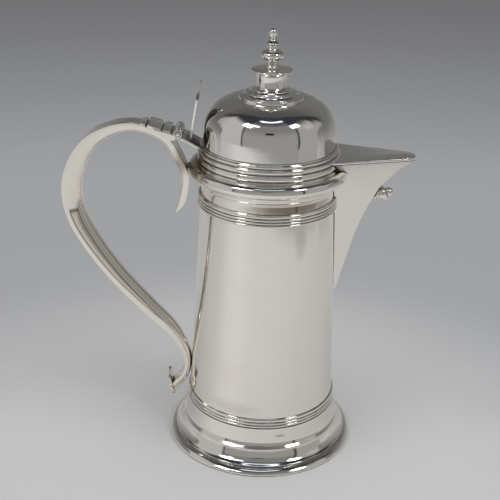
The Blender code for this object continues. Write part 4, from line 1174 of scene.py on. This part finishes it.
@dataclass
class Hinge:
    """The five-knuckle hinge: strap, leaf and pin, with the thumbpiece on the leaf."""

    handle: Handle
    x: float = -0.0569
    z: float = 0.2146
    length: float = 0.0200
    knuckles: int = 5
    knuckle_radius: float = 0.0029
    play: float = 0.0004
    pin_radius: float = 0.0015
    strap_length: float = 0.0252
    strap_tip: float = 0.0110
    strap_shoulder: float = 0.72
    ease: float = 0.0003
    crest_slope: float = 0.3
    crest_low: float = 0.1807
    crest_depth: float = 0.012
    leaf_thickness: float = 0.0020
    leaf_out: float = 0.0121
    leaf_drop: float = 0.006989
    thumb_height: float = 0.0370
    thumb_width: float = 0.0150
    thumb_stem: float = 0.0080
    thumb_thickness: float = 0.0016
    thumb_lean: float = math.radians(9.3)
    thumb_out: float = 0.0074

    def lay(self, piece: Object, middle: float = 0.0) -> Object:
        """Lays an upright piece along the pin and returns it."""
        place = Matrix.Translation((AXIS_X + self.x, middle, self.z))
        piece.data.transform(place @ Matrix.Rotation(math.pi / 2, 4, "X"))
        return piece

    def barrel(self, name: str, radius: float, length: float, middle: float = 0.0, steps: int = 48) -> Object:
        """A rounded cylinder round the hinge's axis.

        Args:
            name: The object's name.
            radius: Its radius.
            length: Its length along the pin.
            middle: Where its middle lies along the pin.
            steps: Facets round it.

        Returns:
            The cylinder.
        """
        half, ease = length / 2, min(0.00025, 0.2 * radius)
        profile = Profile(0, -half).to(radius, -half).to(radius, half).to(0, half)
        return self.lay(Bench.turn(name, profile.rounded(ease), steps, 0.0), middle)

    def side_plate(self, name: str, outline: Outline, width: float) -> Object:
        """A plate with its outline in side view, spread along the pin."""
        return self.lay(Bench.plate(name, [(x - self.x, z - self.z) for x, z in outline], width))

    def slots(self) -> tuple[list[float], float]:
        """Middles of the knuckles along the pin, and the length of each."""
        pitch = self.length / self.knuckles
        return [(i - (self.knuckles - 1) / 2) * pitch for i in range(self.knuckles)], pitch - GAP

    def strap_outline(self) -> Outline:
        """The strap in side view: a cast plate crossed by three mouldings."""
        length, r = self.strap_length, self.knuckle_radius
        top: Outline = [(-length, 1.1 * r), (-0.985 * length, 1.50 * r)]
        crests = ((-0.955, -0.80, 1.70, 1.72, 0.16), (-0.755, -0.42, 1.74, 1.00, 0.14),
                  (-0.375, -0.18, 0.76, 0.52, 0.14))
        for start, end, first, last, crown in crests:
            for t in np.linspace(0, 1, 11):
                rise = first + (last - first) * t + crown * math.sin(math.pi * t) ** 0.35
                top.append(((start + (end - start) * t) * length, rise * r))
            top += [((end + 0.006) * length, (last - 0.52) * r), ((end + 0.034) * length, (last - 0.52) * r)]
        under = [(-0.5 * r, -0.5 * r), (-0.45 * r, -1.1 * r), (-0.8 * r, -1.5 * r), (-length, -1.5 * r)]
        return [(self.x + x, self.z + z) for x, z in top + under]

    def crest_solid(self) -> Object:
        """Everything below the crest of the handle's top, for seating the strap."""
        line, outward = self.handle.frames()
        rings = []
        for (x, z, depth, _), (out_x, out_z) in zip(line, outward):
            if out_z > self.crest_slope and z > self.crest_low:
                low, high, side = -depth / 2 - self.crest_depth, depth / 2 + GAP / 3, self.length
                corners = ((-side, low), (side, low), (side, high), (-side, high))
                rings.append([Vector((AXIS_X + x + v * out_x, u, z + v * out_z)) for u, v in corners])
        return Bench.loft("handle_crest", rings)

    def add_knuckles(self, piece: Object, first: int) -> Object:
        """Cuts room for the other leaf's knuckles, adds a leaf's own and bores them.

        Args:
            piece: The strap or the leaf.
            first: Number of its first own knuckle.

        Returns:
            The piece.
        """
        middles, length = self.slots()
        for i, middle in enumerate(middles):
            if i % 2 != first:
                room = self.barrel("room", self.knuckle_radius + self.play, length + 1.5 * GAP, middle)
                Bench.cut(piece, room)
        for middle in middles[first::2]:
            Bench.join(piece, self.barrel("knuckle", self.knuckle_radius, length, middle))
        return Bench.cut(piece, self.barrel("bore", self.pin_radius + self.play, self.length + 0.012))

    def strap(self) -> Object:
        """The strap, tapered in plan towards its tip."""
        piece = self.side_plate("hinge_strap_plate", self.strap_outline(), self.length - GAP)
        shoulder = self.strap_shoulder * self.strap_length
        for vertex in piece.data.vertices:
            past = max(0.0, AXIS_X + self.x - shoulder - vertex.co.x) / (self.strap_length - shoulder)
            vertex.co.y *= 1 - past * (1 - self.strap_tip / self.length)
        Bench.bevel(piece, self.ease, 2)
        Bench.cut(piece, self.crest_solid())
        return self.add_knuckles(piece, 0)

    def leaf_line(self, out: float) -> float:
        """Height of the leaf's upper face at a distance inward from the pin."""
        start = 0.7 * self.knuckle_radius
        share = max(0.0, out - self.knuckle_radius) / (self.leaf_out - self.knuckle_radius)
        return self.z - start - (self.leaf_drop - start) * share

    def leaf(self) -> Object:
        """The thin plate that joins the lid's rim to the hinge."""
        outs = (0.35 * self.knuckle_radius, self.knuckle_radius, 1.30 * self.leaf_out)
        upper = [(self.x + out, self.leaf_line(out)) for out in outs]
        lower = [(self.x + out, self.leaf_line(out) - self.leaf_thickness) for out in outs]
        piece = self.side_plate("hinge_leaf_plate", upper + lower[::-1], self.length - GAP)
        Bench.bevel(piece, self.ease, 2)
        return self.add_knuckles(piece, 1)

    def thumb(self) -> Object:
        """The thumbpiece: a shaped plate with a narrow tip that leans towards the dome."""
        half, stem, height = self.thumb_width / 2, self.thumb_stem / 2, self.thumb_height
        foot = scaled(((1, -0.02), (0.95, 0.08), (0.98, 0.22)), stem, height)
        blade = scaled(((0.76, 0.46), (0.96, 0.62), (1, 0.69), (0.97, 0.715), (0.58, 0.760), (0.27, 0.798),
                        (0.20, 0.85), (0.17, 0.92), (0.10, 0.98), (0, 1)), half, height)
        outline = smooth_line(foot + blade, 6).tolist()
        outline += [[-x, y] for x, y in outline[-2::-1]]
        piece = Bench.plate("thumb_plate", outline, self.thumb_thickness)
        Bench.bevel(piece, 0.0004, 3)
        place = Matrix.Translation((AXIS_X + self.x + self.thumb_out, 0, self.leaf_line(self.thumb_out)))
        piece.data.transform(place @ stood_up(-self.thumb_lean))
        return piece

    def build(self, shop: Workshop) -> None:
        """Builds and dresses the hinge."""
        pieces = ((self.strap(), "hinge_strap", Body.VESSEL), (self.leaf(), "hinge_leaf", Body.LID),
                  (self.barrel("hinge_wire", self.pin_radius, self.length + GAP), "hinge_pin", Body.VESSEL),
                  (self.thumb(), "thumbpiece", Body.LID))
        for piece, node, body in pieces:
            shop.hand_over(piece, node, body, shop.finishes.hinge, 35)


@dataclass
class Lid:
    """The domed lid with its rim, inner ring, spout cover and finial."""

    bottom: float = 0.2015
    rim_radius: float = 0.0448
    rim_height: float = 0.0063
    rim_lower: float = 0.0034
    dome_radius: float = 0.04175
    dome_wall: float = 0.0010
    dome_side: float = 0.0158
    shoulder: float = 0.0203
    crown: float = 0.0205
    inner_crown: float = 0.0162
    step: float = 0.0123
    crown_rise: float = 0.0070
    crown_step: float = 0.195
    crown_sweep: Points = ((0.13, 0.42), (0.33, 0.74), (0.62, 0.88))
    crown_fall: float = 0.93
    crown_edge: Point = (0.0006, 0.0005)
    rim_swell: float = 0.0013
    bezel_radius: float = 0.0398
    bezel_wall: float = 0.0010
    bezel_rise: float = 0.0045
    bezel_drop: float = 0.0040
    bezel_taper: float = 0.0005
    cover_thickness: float = 0.0017
    cover_back: float = 0.0314
    cover_margin: float = 0.0002
    cover_overlap: float = 0.0006
    disc_radius: float = 0.0130
    disc_thickness: float = 0.0012
    collar_radius: float = 0.0101
    collar_height: float = 0.0089
    collar_waist: float = 0.0093
    knop_height: float = 0.0244
    knop_radius: float = 0.0072
    stud: float = 0.0015
    stud_tail: float = 0.0010
    nut_radius: float = 0.0042
    nut_height: float = 0.0024

    @property
    def dome_top(self) -> float:
        """Height where the shoulder ends."""
        return self.bottom + self.dome_side + self.shoulder

    @property
    def crown_top(self) -> float:
        """Height of the crown."""
        return self.dome_top + self.crown_rise

    def dome(self) -> Outline:
        """Outline of the dome: straight side, round shoulder and stepped crown, then its inside."""
        top, hole, (wide, high) = self.dome_top, self.stud + GAP, self.crown_edge
        centre = (self.dome_radius - self.shoulder, self.bottom + self.dome_side)
        profile = Profile(hole, self.crown_top).to(self.collar_waist, self.crown_top)
        start, level, step = self.collar_waist + 0.0001, self.crown_top, self.crown_step * self.crown_rise
        for edge in (self.step, self.inner_crown, self.crown):
            low = level - self.crown_fall * step
            sweep = [(start + x * (edge - start), level - y * step) for x, y in self.crown_sweep]
            profile.curve([*sweep, (edge - 0.0005, low)], 6)
            profile.arc((edge - wide, low - high), (wide, high), 80, -20, 9)
            start, level = edge + 0.0001, level - step - 0.0006
            profile.to(edge - 0.0001, level + 0.0001)
        profile.to(self.crown + 0.0003, top - 0.0001)
        profile.arc(centre, (self.shoulder, self.shoulder), 88, 0, 40)
        for height in np.linspace(centre[1], self.bottom, 6)[1:]:
            profile.to(self.dome_radius, height)
        profile.to(self.dome_radius - self.dome_wall, self.bottom)
        inner = self.shoulder - self.dome_wall
        profile.arc(centre, (inner, inner), 0, 86, 24)
        ceiling = top - self.dome_wall
        profile.to(self.crown - self.dome_wall, ceiling).to(hole, ceiling)
        return profile.to(hole, self.crown_top).points

    def rim(self) -> Outline:
        """Outline of the band round the dome's foot: a bold reed, a lesser reed and a fillet."""
        inner, out, low = self.dome_radius, self.rim_radius, self.bottom
        top, middle = low + self.rim_height, low + self.rim_lower
        profile = Profile(inner, top).to(inner + 0.0009, top).to(inner + 0.0010, top - 0.0004)
        upper, lower = 0.5 * (top + middle) - 0.0003, 0.5 * (middle + low)
        profile.arc((inner + 0.0010, upper), (self.rim_swell, 0.42 * (top - middle)), 84, -70, 14)
        profile.to(out - 0.0009, middle)
        profile.arc((out - 0.0010, lower), (self.rim_swell, 0.46 * self.rim_lower), 80, -80, 16)
        return profile.to(out - 0.0008, low).to(inner, low).to(inner, top).points

    def bezel(self) -> Outline:
        """Outline of the ring inside the lid that drops into the mouth."""
        upper, guide = self.dome_radius - self.dome_wall, self.bezel_radius
        inner, taper = guide - self.bezel_wall, self.bezel_taper
        top, low = self.bottom + self.bezel_rise, self.bottom - self.bezel_drop
        profile = Profile(inner, top).to(upper, top).to(upper, self.bottom).to(guide, self.bottom)
        profile.to(guide - taper, low).to(inner - taper, low).to(inner, self.bottom)
        return profile.to(inner, top).rounded(0.0003)

    def cover(self, spout: Spout) -> Object:
        """The flat plate that covers the spout, with eased edges and a hollow for the rim."""
        outline = spout.section(1.0, self.cover_margin, self.cover_back, 41)
        piece = Bench.plate("spout_cover_plate", [(AXIS_X + x, y) for x, y in outline], self.cover_thickness)
        piece.data.transform(Matrix.Translation((0, 0, self.bottom + self.cover_thickness / 2)))
        Bench.bevel(piece, 0.00035, 3)
        inner, top, low = self.rim_radius - self.cover_overlap, self.bottom + 0.01, self.bottom - 0.01
        hollow = [(0, top), (inner, top), (inner, low), (0, low)]
        return Bench.cut(piece, Bench.turn("rim_hollow", hollow, 192))

    def collar(self) -> Outline:
        """Outline of the waisted spool under the finial."""
        hole, low = self.stud + GAP, self.crown_top + GAP / 2
        top = low + self.collar_height + GAP / 2
        waist, height = self.collar_waist, top - low
        profile = Profile(hole, top).to(self.collar_radius + 0.0004, top)
        profile.curve([(self.collar_radius - 0.0001, top - 0.10 * height),
                       (waist + 0.0003, top - 0.28 * height), (waist, top - 0.55 * height),
                       (waist, low + 0.20 * height), (waist + 0.0002, low)], 6)
        return profile.to(hole, low).to(hole, top).rounded(0.0002)

    def disc(self) -> Outline:
        """Outline of the thin disc under the knop, slightly dished."""
        hole, low = self.stud + GAP, self.crown_top + self.collar_height + 2 * GAP
        top, half = low + self.disc_thickness, self.disc_thickness / 2
        profile = Profile(hole, top).to(0.0045, top).to(self.disc_radius - half, top)
        profile.arc((self.disc_radius - half, low + half), (half, half), 90, -90, 9)
        return profile.to(hole, low).to(hole, top).points

    def knop(self) -> Outline:
        """Outline of the turned bud with its ball tip, and the stud below."""
        base = self.crown_top + self.collar_height + 2 * GAP + self.disc_thickness
        height, radius, ball = self.knop_height + GAP, self.knop_radius, 0.109
        profile = Profile(0, 1).arc((0, 1 - ball), (ball * height / radius, ball), 88, -46, 20)
        profile.curve([(0.25, 0.795), (0.24, 0.780)], 4).arc((0.24, 0.760), (0.12, 0.015), 75, -75, 8)
        profile.curve([(0.25, 0.735), (0.33, 0.702), (0.46, 0.668)], 5).to(0.55, 0.650)
        profile.arc((0.54, 0.630), (0.05, 0.018), 70, -80, 8).to(0.48, 0.602)
        profile.arc((0.48, 0.575), (0.07, 0.021), 80, -70, 8).curve([(0.45, 0.530), (0.48, 0.500)], 4)
        profile.arc((0, 0.35), (1, 0.15), 54, -58, 26).curve([(0.50, 0.19), (0.44, 0.12), (0.42, 0.075)], 5)
        profile.to(0.48, 0.055).to(0.49, 0).scaled(radius, height, base)
        end = self.dome_top - self.dome_wall - GAP - self.nut_height - self.stud_tail
        return profile.to(self.stud, base).to(self.stud, end).to(0, end).points

    def nut(self) -> Object:
        """The six-sided nut inside the dome, bored for the stud."""
        top = self.dome_top - self.dome_wall - GAP / 2
        corners = np.arange(6) * FULL_TURN / 6
        hexagon = [(self.nut_radius * math.sin(a), self.nut_radius * math.cos(a)) for a in corners]
        piece = Bench.plate("finial_hex_nut", hexagon[::-1], self.nut_height)
        piece.data.transform(Matrix.Translation((AXIS_X, 0, top - self.nut_height / 2)))
        Bench.bevel(piece, 0.0003, 2)
        hole = self.stud + GAP / 2
        bore = [(0, top + 0.005), (hole, top + 0.005), (hole, top - 0.008), (0, top - 0.008)]
        return Bench.cut(piece, Bench.turn("nut_bore", bore, 48))

    def build(self, shop: Workshop, spout: Spout) -> None:
        """Builds and dresses the lid."""
        finishes = shop.finishes
        turned = (("dome_shell", self.dome(), 192, "lid_dome", Slot.LID, finishes.lid),
                  ("rim_reeds", self.rim(), 192, "lid_rim_band", Slot.LID, finishes.mould),
                  ("mouth_ring", self.bezel(), 160, "lid_bezel", Slot.INNER, finishes.inner),
                  ("finial_spool", self.collar(), 96, "finial_collar", Slot.LID, finishes.finial),
                  ("finial_plate", self.disc(), 96, "finial_disc", Slot.LID, finishes.mould),
                  ("finial_bud", self.knop(), 80, "finial_knop", Slot.LID, finishes.finial))
        for name, outline, steps, node, slot, finish in turned:
            shop.hand_over(Bench.turn(name, outline, steps), node, Body.LID, finish, 40)
        shop.hand_over(self.nut(), "finial_nut", Body.LID, finishes.inner, 35)
        shop.hand_over(self.cover(spout), "lid_spout_cover", Body.LID, finishes.lid, 30)


@dataclass(frozen=True)
class Panel:
    """A board, lamp or gap that the metal mirrors, by its edges in degrees as seen from the flagon.

    The side edges go over in soft degrees, the lower and upper ones in fade degrees, and they bow
    out by bow degrees at 10 degrees up.
    """

    left: float
    right: float
    low: float
    high: float
    colour: Colour
    soft: float = 1.0
    fade: float = 1.0
    bow: float = 0.0


def grey(level: float) -> Colour:
    """A neutral colour."""
    return level, level, level


@dataclass
class Studio:
    """The pale floor, the cove, the studio's boards and lamps, and the camera."""

    eye: Place = (AXIS_X, -0.6041, 0.3997)
    pitch: float = math.radians(23.739)
    yaw: float = math.radians(-0.975)
    roll: float = math.radians(1.631)
    lens: float = 72.1
    ambient: float = 0.69
    lowest: float = -40.0
    highest: float = 85.0
    backdrop_tint: Colour = (0.98, 0.995, 1.025)
    # Camera background by angle upwards; the quick fall just above -33 degrees paints the soft shadow that
    # lies on the floor behind the foot.
    backdrop: Points = (
        (-40, 0.55), (-37, 0.53), (-33, 0.51), (-32, 0.465), (-31, 0.43), (-29.5, 0.425), (-28, 0.395),
        (-26, 0.365), (-23, 0.355), (-20, 0.355), (-18, 0.335), (-16.6, 0.30), (-14, 0.245), (-11.6, 0.195),
        (-9.7, 0.165), (-4, 0.15), (25, 0.155), (50, 0.125), (80, 0.08))
    room: Points = (
        (-40, 0.40), (-15, 0.325), (-5, 0.295), (0, 0.250), (10, 0.190), (20, 0.158), (30, 0.145),
        (40, 0.128), (50, 0.105), (60, 0.088), (80, 0.076), (85, 0.058))
    lamps: tuple[tuple[str, float, float, float], ...] = (("lamp_left", -56, 50, 2.6),
                                                          ("lamp_right", 57, 50, 3.9))
    lamp_size: Point = (0.55, 0.35)
    lamp_middle: Place = (AXIS_X, 0, 0.1)
    lamp_distance: float = 1.1
    paper_tones: Point = (0.522, 0.552)
    floor_size: float = 3.0
    floor_near: Point = (0.08, 0.30)
    floor_middle: Place = (-0.16, 0.06, 0.0)
    floor_end: Point = (0.65, 0.80)
    # Painted light: the floor's brightness by direction round the barrel, seen only in the metal.
    floor_painted_light: Points = ((-90, 0.92), (-76, 0.95), (-56, 1.13), (-40, 1.165), (-15, 1.07), (10, 1.02),
                         (45, 0.945), (75, 0.91))
    cove_turns: Point = (88.0, 272.0)
    cove_blend: float = 12.0
    cove_radius: float = 0.42
    cove_rise: float = 16.0
    cove_height: float = 0.52
    cove_end: Point = (0.36, 0.48)
    cove_shades: Points = ((0.0, 0.92), (0.10, 0.66), (0.19, 0.56), (0.23, 0.48), (0.31, 0.36), (0.40, 0.29),
                           (0.50, 0.26))

    def boards(self) -> list[Panel]:
        """What stands round the flagon, from the back of the list to the front."""
        deep, top = -60, 95
        return [
            Panel(-200, -95, deep, 40, grey(0.128), 10, 12),
            Panel(-124, -98, 36, 78, grey(0.030), 8, 8),
            Panel(98, 124, 28, 78, grey(0.030), 8, 8),
            Panel(-112, 112, 58, top, (0.031, 0.036, 0.047), 6, 3),
            Panel(-113, -92, deep, 44, grey(0.37), 3, 10),
            Panel(88, 113, deep, 36, grey(0.325), 3, 10),
            Panel(-98, -48, deep, 53, grey(0.455), 3, 5, -0.043),
            Panel(52, 95, deep, 50, grey(0.335), 3, 6, 0.038),
            Panel(74, 94, 30, 42, grey(0.44), 5, 5),
            Panel(-48, 51, deep, 57, grey(0.292), 1, 3, 0),
            Panel(-50, 53, 32, 62, grey(0.195), 4, 16),
            Panel(-48.6, -46.2, -17, 47, grey(0.05), 0.8, 0.7, -0.043),
            Panel(48.9, 52.4, -17, 47, grey(0.035), 0.8, 0.7, 0.038),
            Panel(-8, 8.5, 28.8, 35.8, grey(0.010), 0.8, 0.8),
            Panel(-63, -43, 47, 55, grey(11.0), 2, 1.5),
            Panel(-45, -27, 53.5, 56.5, grey(5.0), 2, 1.2),
            Panel(52, 71, 47, 55, grey(11.0), 2, 1.5),
            Panel(-46, 60, 72.5, 76.5, (1.7, 1.95, 2.3), 2, 1.2),
        ]

    def panel_group(self) -> bpy.types.NodeTree:
        """Makes the group that masks one soft-edged panel."""
        names = ("Across", "Up", "Left", "Right", "Low", "High", "Soft", "Fade", "Bow")
        inputs = [(name, "Float") for name in names]
        made, hand, given, out = group("studio_panel", inputs, [("Mask", "Float")])
        socket = given.outputs
        above = hand.math("DIVIDE", hand.math("MAXIMUM", socket["Up"], 0.0), 10.0)
        bow = hand.math("MULTIPLY", socket["Bow"], 10.0)
        bent = hand.math("MULTIPLY", hand.math("POWER", above, 2.0), bow)
        across = hand.math("SUBTRACT", socket["Across"], bent)
        share = None
        up = socket["Up"]
        for value, edge, side, width in ((across, "Left", 1, "Soft"), (across, "Right", -1, "Soft"),
                                         (up, "Low", 1, "Fade"), (up, "High", -1, "Fade")):
            inside = hand.math("MULTIPLY", hand.math("SUBTRACT", value, socket[edge]), float(side))
            edge_mask = hand.step(hand.math("DIVIDE", inside, socket[width]), -1.0, 1.0)
            share = edge_mask if share is None else hand.math("MULTIPLY", share, edge_mask)
        hand.feed(out.inputs["Mask"], share)
        return made

    def by_height(self, hand: NodeTree, up: Socket, levels: Points, tint: Colour) -> Socket:
        """Adds a ramp of tinted greys over the angle upwards.

        Args:
            hand: The world's tree.
            up: The angle in degrees.
            levels: Angles with their greys, in order.
            tint: What each grey is multiplied by.

        Returns:
            The colour.
        """
        span = self.highest - self.lowest
        share = hand.math("DIVIDE", hand.math("SUBTRACT", up, self.lowest), span, clamp=True)
        return hand.ramp(share, [((angle - self.lowest) / span, tuple(part * level for part in tint))
                                 for angle, level in levels])

    def build_world(self) -> None:
        """Lights the scene evenly, and lets the camera and the metal see the studio instead."""
        world = bpy.data.worlds.new("studio")
        bpy.context.scene.world = world
        world.use_nodes = True
        world.node_tree.nodes.clear()
        hand = NodeTree(world.node_tree)
        x, y, z = hand.split(hand.add("TexCoord").outputs["Generated"])
        across = hand.math("DEGREES", hand.math("ARCTAN2", x, hand.math("MULTIPLY", y, -1.0)))
        up = hand.math("DEGREES", hand.math("ARCSINE", z))
        backdrop = self.by_height(hand, up, self.backdrop, self.backdrop_tint)
        seen = self.by_height(hand, up, self.room, grey(1.0))
        masks = self.panel_group()
        for panel in self.boards():
            mask = hand.add("Group", node_tree=masks, in_Across=across, in_Up=up, in_Left=panel.left,
                            in_Right=panel.right, in_Low=panel.low, in_High=panel.high, in_Soft=panel.soft,
                            in_Fade=panel.fade, in_Bow=panel.bow)
            seen = hand.mix(mask.outputs["Mask"], seen, (*panel.colour, 1.0))
        rays = hand.add("LightPath").outputs
        mirrored = hand.math("MAXIMUM", rays["Is Glossy Ray"], rays["Is Transmission Ray"])
        shown = hand.mix(rays["Is Camera Ray"], seen, backdrop)
        visible = hand.math("MAXIMUM", mirrored, rays["Is Camera Ray"])
        light = hand.mix(visible, (*grey(self.ambient), 1.0), shown)
        background = hand.add("Background", in_Color=light)
        output = hand.add("OutputWorld")
        hand.feed(output.inputs["Surface"], background.outputs[0])

    def build_lamps(self) -> None:
        """Two soft lamps in front, to the left and the right, for the shadows on the floor."""
        for name, across, up, power in self.lamps:
            data = bpy.data.lights.new(name, "AREA")
            data.shape = "RECTANGLE"
            data.size, data.size_y = self.lamp_size
            data.energy = power
            lamp = bpy.data.objects.new(name, data)
            bpy.context.scene.collection.objects.link(lamp)
            a, e = math.radians(across), math.radians(up)
            towards = Vector((math.sin(a) * math.cos(e), -math.cos(a) * math.cos(e), math.sin(e)))
            lamp.location = Vector(self.lamp_middle) + self.lamp_distance * towards
            lamp.rotation_euler = towards.to_track_quat("Z", "Y").to_euler()
            lamp.visible_camera = False
            lamp.visible_glossy = False

    def paper(self, hand: NodeTree, place: Socket) -> Socket:
        """Adds grainy paper and returns its colour."""
        dark, light = self.paper_tones
        return hand.mix(hand.noise(place, 900.0, 2.0), (*grey(dark), 1), (*grey(light), 1))

    @staticmethod
    def lay(obj: Object, name: str, hand: NodeTree, colour: Socket,
            share: Socket) -> None:
        """Finishes a stage piece.

        Args:
            obj: The piece.
            name: Its name.
            hand: Its material's tree.
            colour: Its colour.
            share: How far it is there, the rest being clear.
        """
        diffuse, clear = hand.add("BsdfDiffuse", in_Color=colour), hand.add("BsdfTransparent")
        mixed = hand.add("MixShader", in_0=share, in_1=clear.outputs[0], in_2=diffuse.outputs[0])
        hand.feed(hand.add("OutputMaterial").inputs["Surface"], mixed.outputs[0])
        obj.name = name

    @staticmethod
    def stage_material(obj: Object, name: str) -> tuple[NodeTree, Socket]:
        """Gives a stage piece an empty material and returns a hand on it with the piece's own coordinates."""
        material = bpy.data.materials.new(name)
        material.use_nodes = True
        material.node_tree.nodes.clear()
        obj.data.materials.append(material)
        hand = NodeTree(material.node_tree)
        return hand, hand.add("TexCoord").outputs["Object"]

    def build_floor(self) -> None:
        """A pale floor that fades into the backdrop for the camera and ends at the boards for the metal; for
        the metal its paper also carries a painted pool of light, brighter towards the front left.
        """
        bpy.ops.object.select_all(action="DESELECT")
        bpy.ops.mesh.primitive_plane_add(size=self.floor_size)
        floor = bpy.context.object
        hand, place = self.stage_material(floor, "pale_paper")
        x, y, _ = hand.split(place)
        paper = self.paper(hand, place)
        # Painted light: seen in the metal, the paper is brightened by direction round the barrel.
        round_axis = hand.math("ARCTAN2", hand.math("SUBTRACT", x, AXIS_X), hand.math("MULTIPLY", y, -1.0))
        turn = hand.times_plus(round_axis, 1 / FULL_TURN, 0.5)
        painted_light = hand.ramp(turn, [(angle / 360 + 0.5, grey(level / 2)) for angle, level in self.floor_painted_light])
        paper_with_painted_light = hand.mix(1.0, paper, painted_light, "MULTIPLY")
        lit = hand.mix(1.0, paper_with_painted_light, (2.0, 2.0, 2.0, 1.0), "MULTIPLY")
        rays = hand.add("LightPath").outputs
        away = hand.vector("LENGTH", place)
        aside = hand.vector("DISTANCE", place, self.floor_middle)
        share = hand.add("Mix", data_type="FLOAT", in_0=rays["Is Camera Ray"])
        hand.feed(share.inputs[2], hand.step(aside, *self.floor_end, 1.0, 0.0))
        hand.feed(share.inputs[3], hand.step(away, *self.floor_near, 1.0, 0.0))
        self.lay(floor, "pale_floor", hand, hand.mix(rays["Is Glossy Ray"], paper, lit), share.outputs[0])

    def build_cove(self) -> None:
        """A paper cove behind the flagon that only the metal sees."""
        bpy.ops.object.select_all(action="DESELECT")
        first, last = self.cove_turns
        turns, steps = np.linspace(first, last, 93), np.linspace(0, 1, 17)
        bpy.ops.mesh.primitive_grid_add(x_subdivisions=len(steps) - 1, y_subdivisions=len(turns) - 1, size=1)
        cove = bpy.context.object
        places = []
        for turn in turns:
            behind = np.clip(min(turn - first, last - turn) / self.cove_blend, 0.05, 1)
            angle = math.radians(turn)
            for run in math.sqrt(self.cove_height / (self.cove_rise * behind)) * steps:
                out = self.cove_radius + run
                height = behind * self.cove_rise * run ** 2
                places.append((out * math.sin(angle), -out * math.cos(angle), height))
        cove.data.vertices.foreach_set("co", np.array(places, np.float32).ravel())
        hand, place = self.stage_material(cove, "cove_paper")
        z = hand.split(place)[2]
        stops = [(2 * height, grey(level)) for height, level in self.cove_shades]
        shade = hand.ramp(hand.math("MULTIPLY", z, 2.0), stops)
        colour = hand.mix(1.0, self.paper(hand, place), shade, "MULTIPLY")
        self.lay(cove, "cove", hand, colour, hand.step(z, *self.cove_end, 1.0, 0.0))
        cove.visible_camera = cove.visible_diffuse = cove.visible_shadow = False

    def build_camera(self) -> None:
        """Sets the camera at the photograph's place."""
        data = bpy.data.cameras.new("camera")
        data.lens = self.lens
        data.sensor_width = 36.0
        data.clip_start = 0.01
        camera = bpy.data.objects.new("camera", data)
        bpy.context.scene.collection.objects.link(camera)
        back = Vector((-math.sin(self.yaw) * math.cos(self.pitch), -math.cos(self.yaw) * math.cos(self.pitch),
                       math.sin(self.pitch)))
        level = Vector((math.cos(self.yaw), -math.sin(self.yaw), 0))
        above = back.cross(level)
        right = level * math.cos(self.roll) + above * math.sin(self.roll)
        up = above * math.cos(self.roll) - level * math.sin(self.roll)
        turn = Matrix((right, up, back)).transposed().to_4x4()
        camera.matrix_world = Matrix.Translation(self.eye) @ turn
        bpy.context.scene.camera = camera

    def build(self) -> None:
        """Builds the studio."""
        bpy.context.scene.view_settings.view_transform = "Standard"
        self.build_camera()
        self.build_world()
        self.build_lamps()
        self.build_floor()
        self.build_cove()


def main() -> None:
    """Builds the studio and every sub-assembly in order."""
    logging.basicConfig(level=logging.INFO, format="%(name)s: %(message)s")
    Studio().build()
    shop = Workshop()
    barrel = Barrel()
    spout = Spout(barrel)
    handle = Handle(barrel)
    barrel.build(shop, spout)
    Foot().build(shop)
    Lip().build(shop, barrel, spout)
    spout.build(shop)
    handle.build(shop, spout)
    Hinge(handle).build(shop)
    Lid().build(shop, spout)


if __name__ == "__main__":
    main()
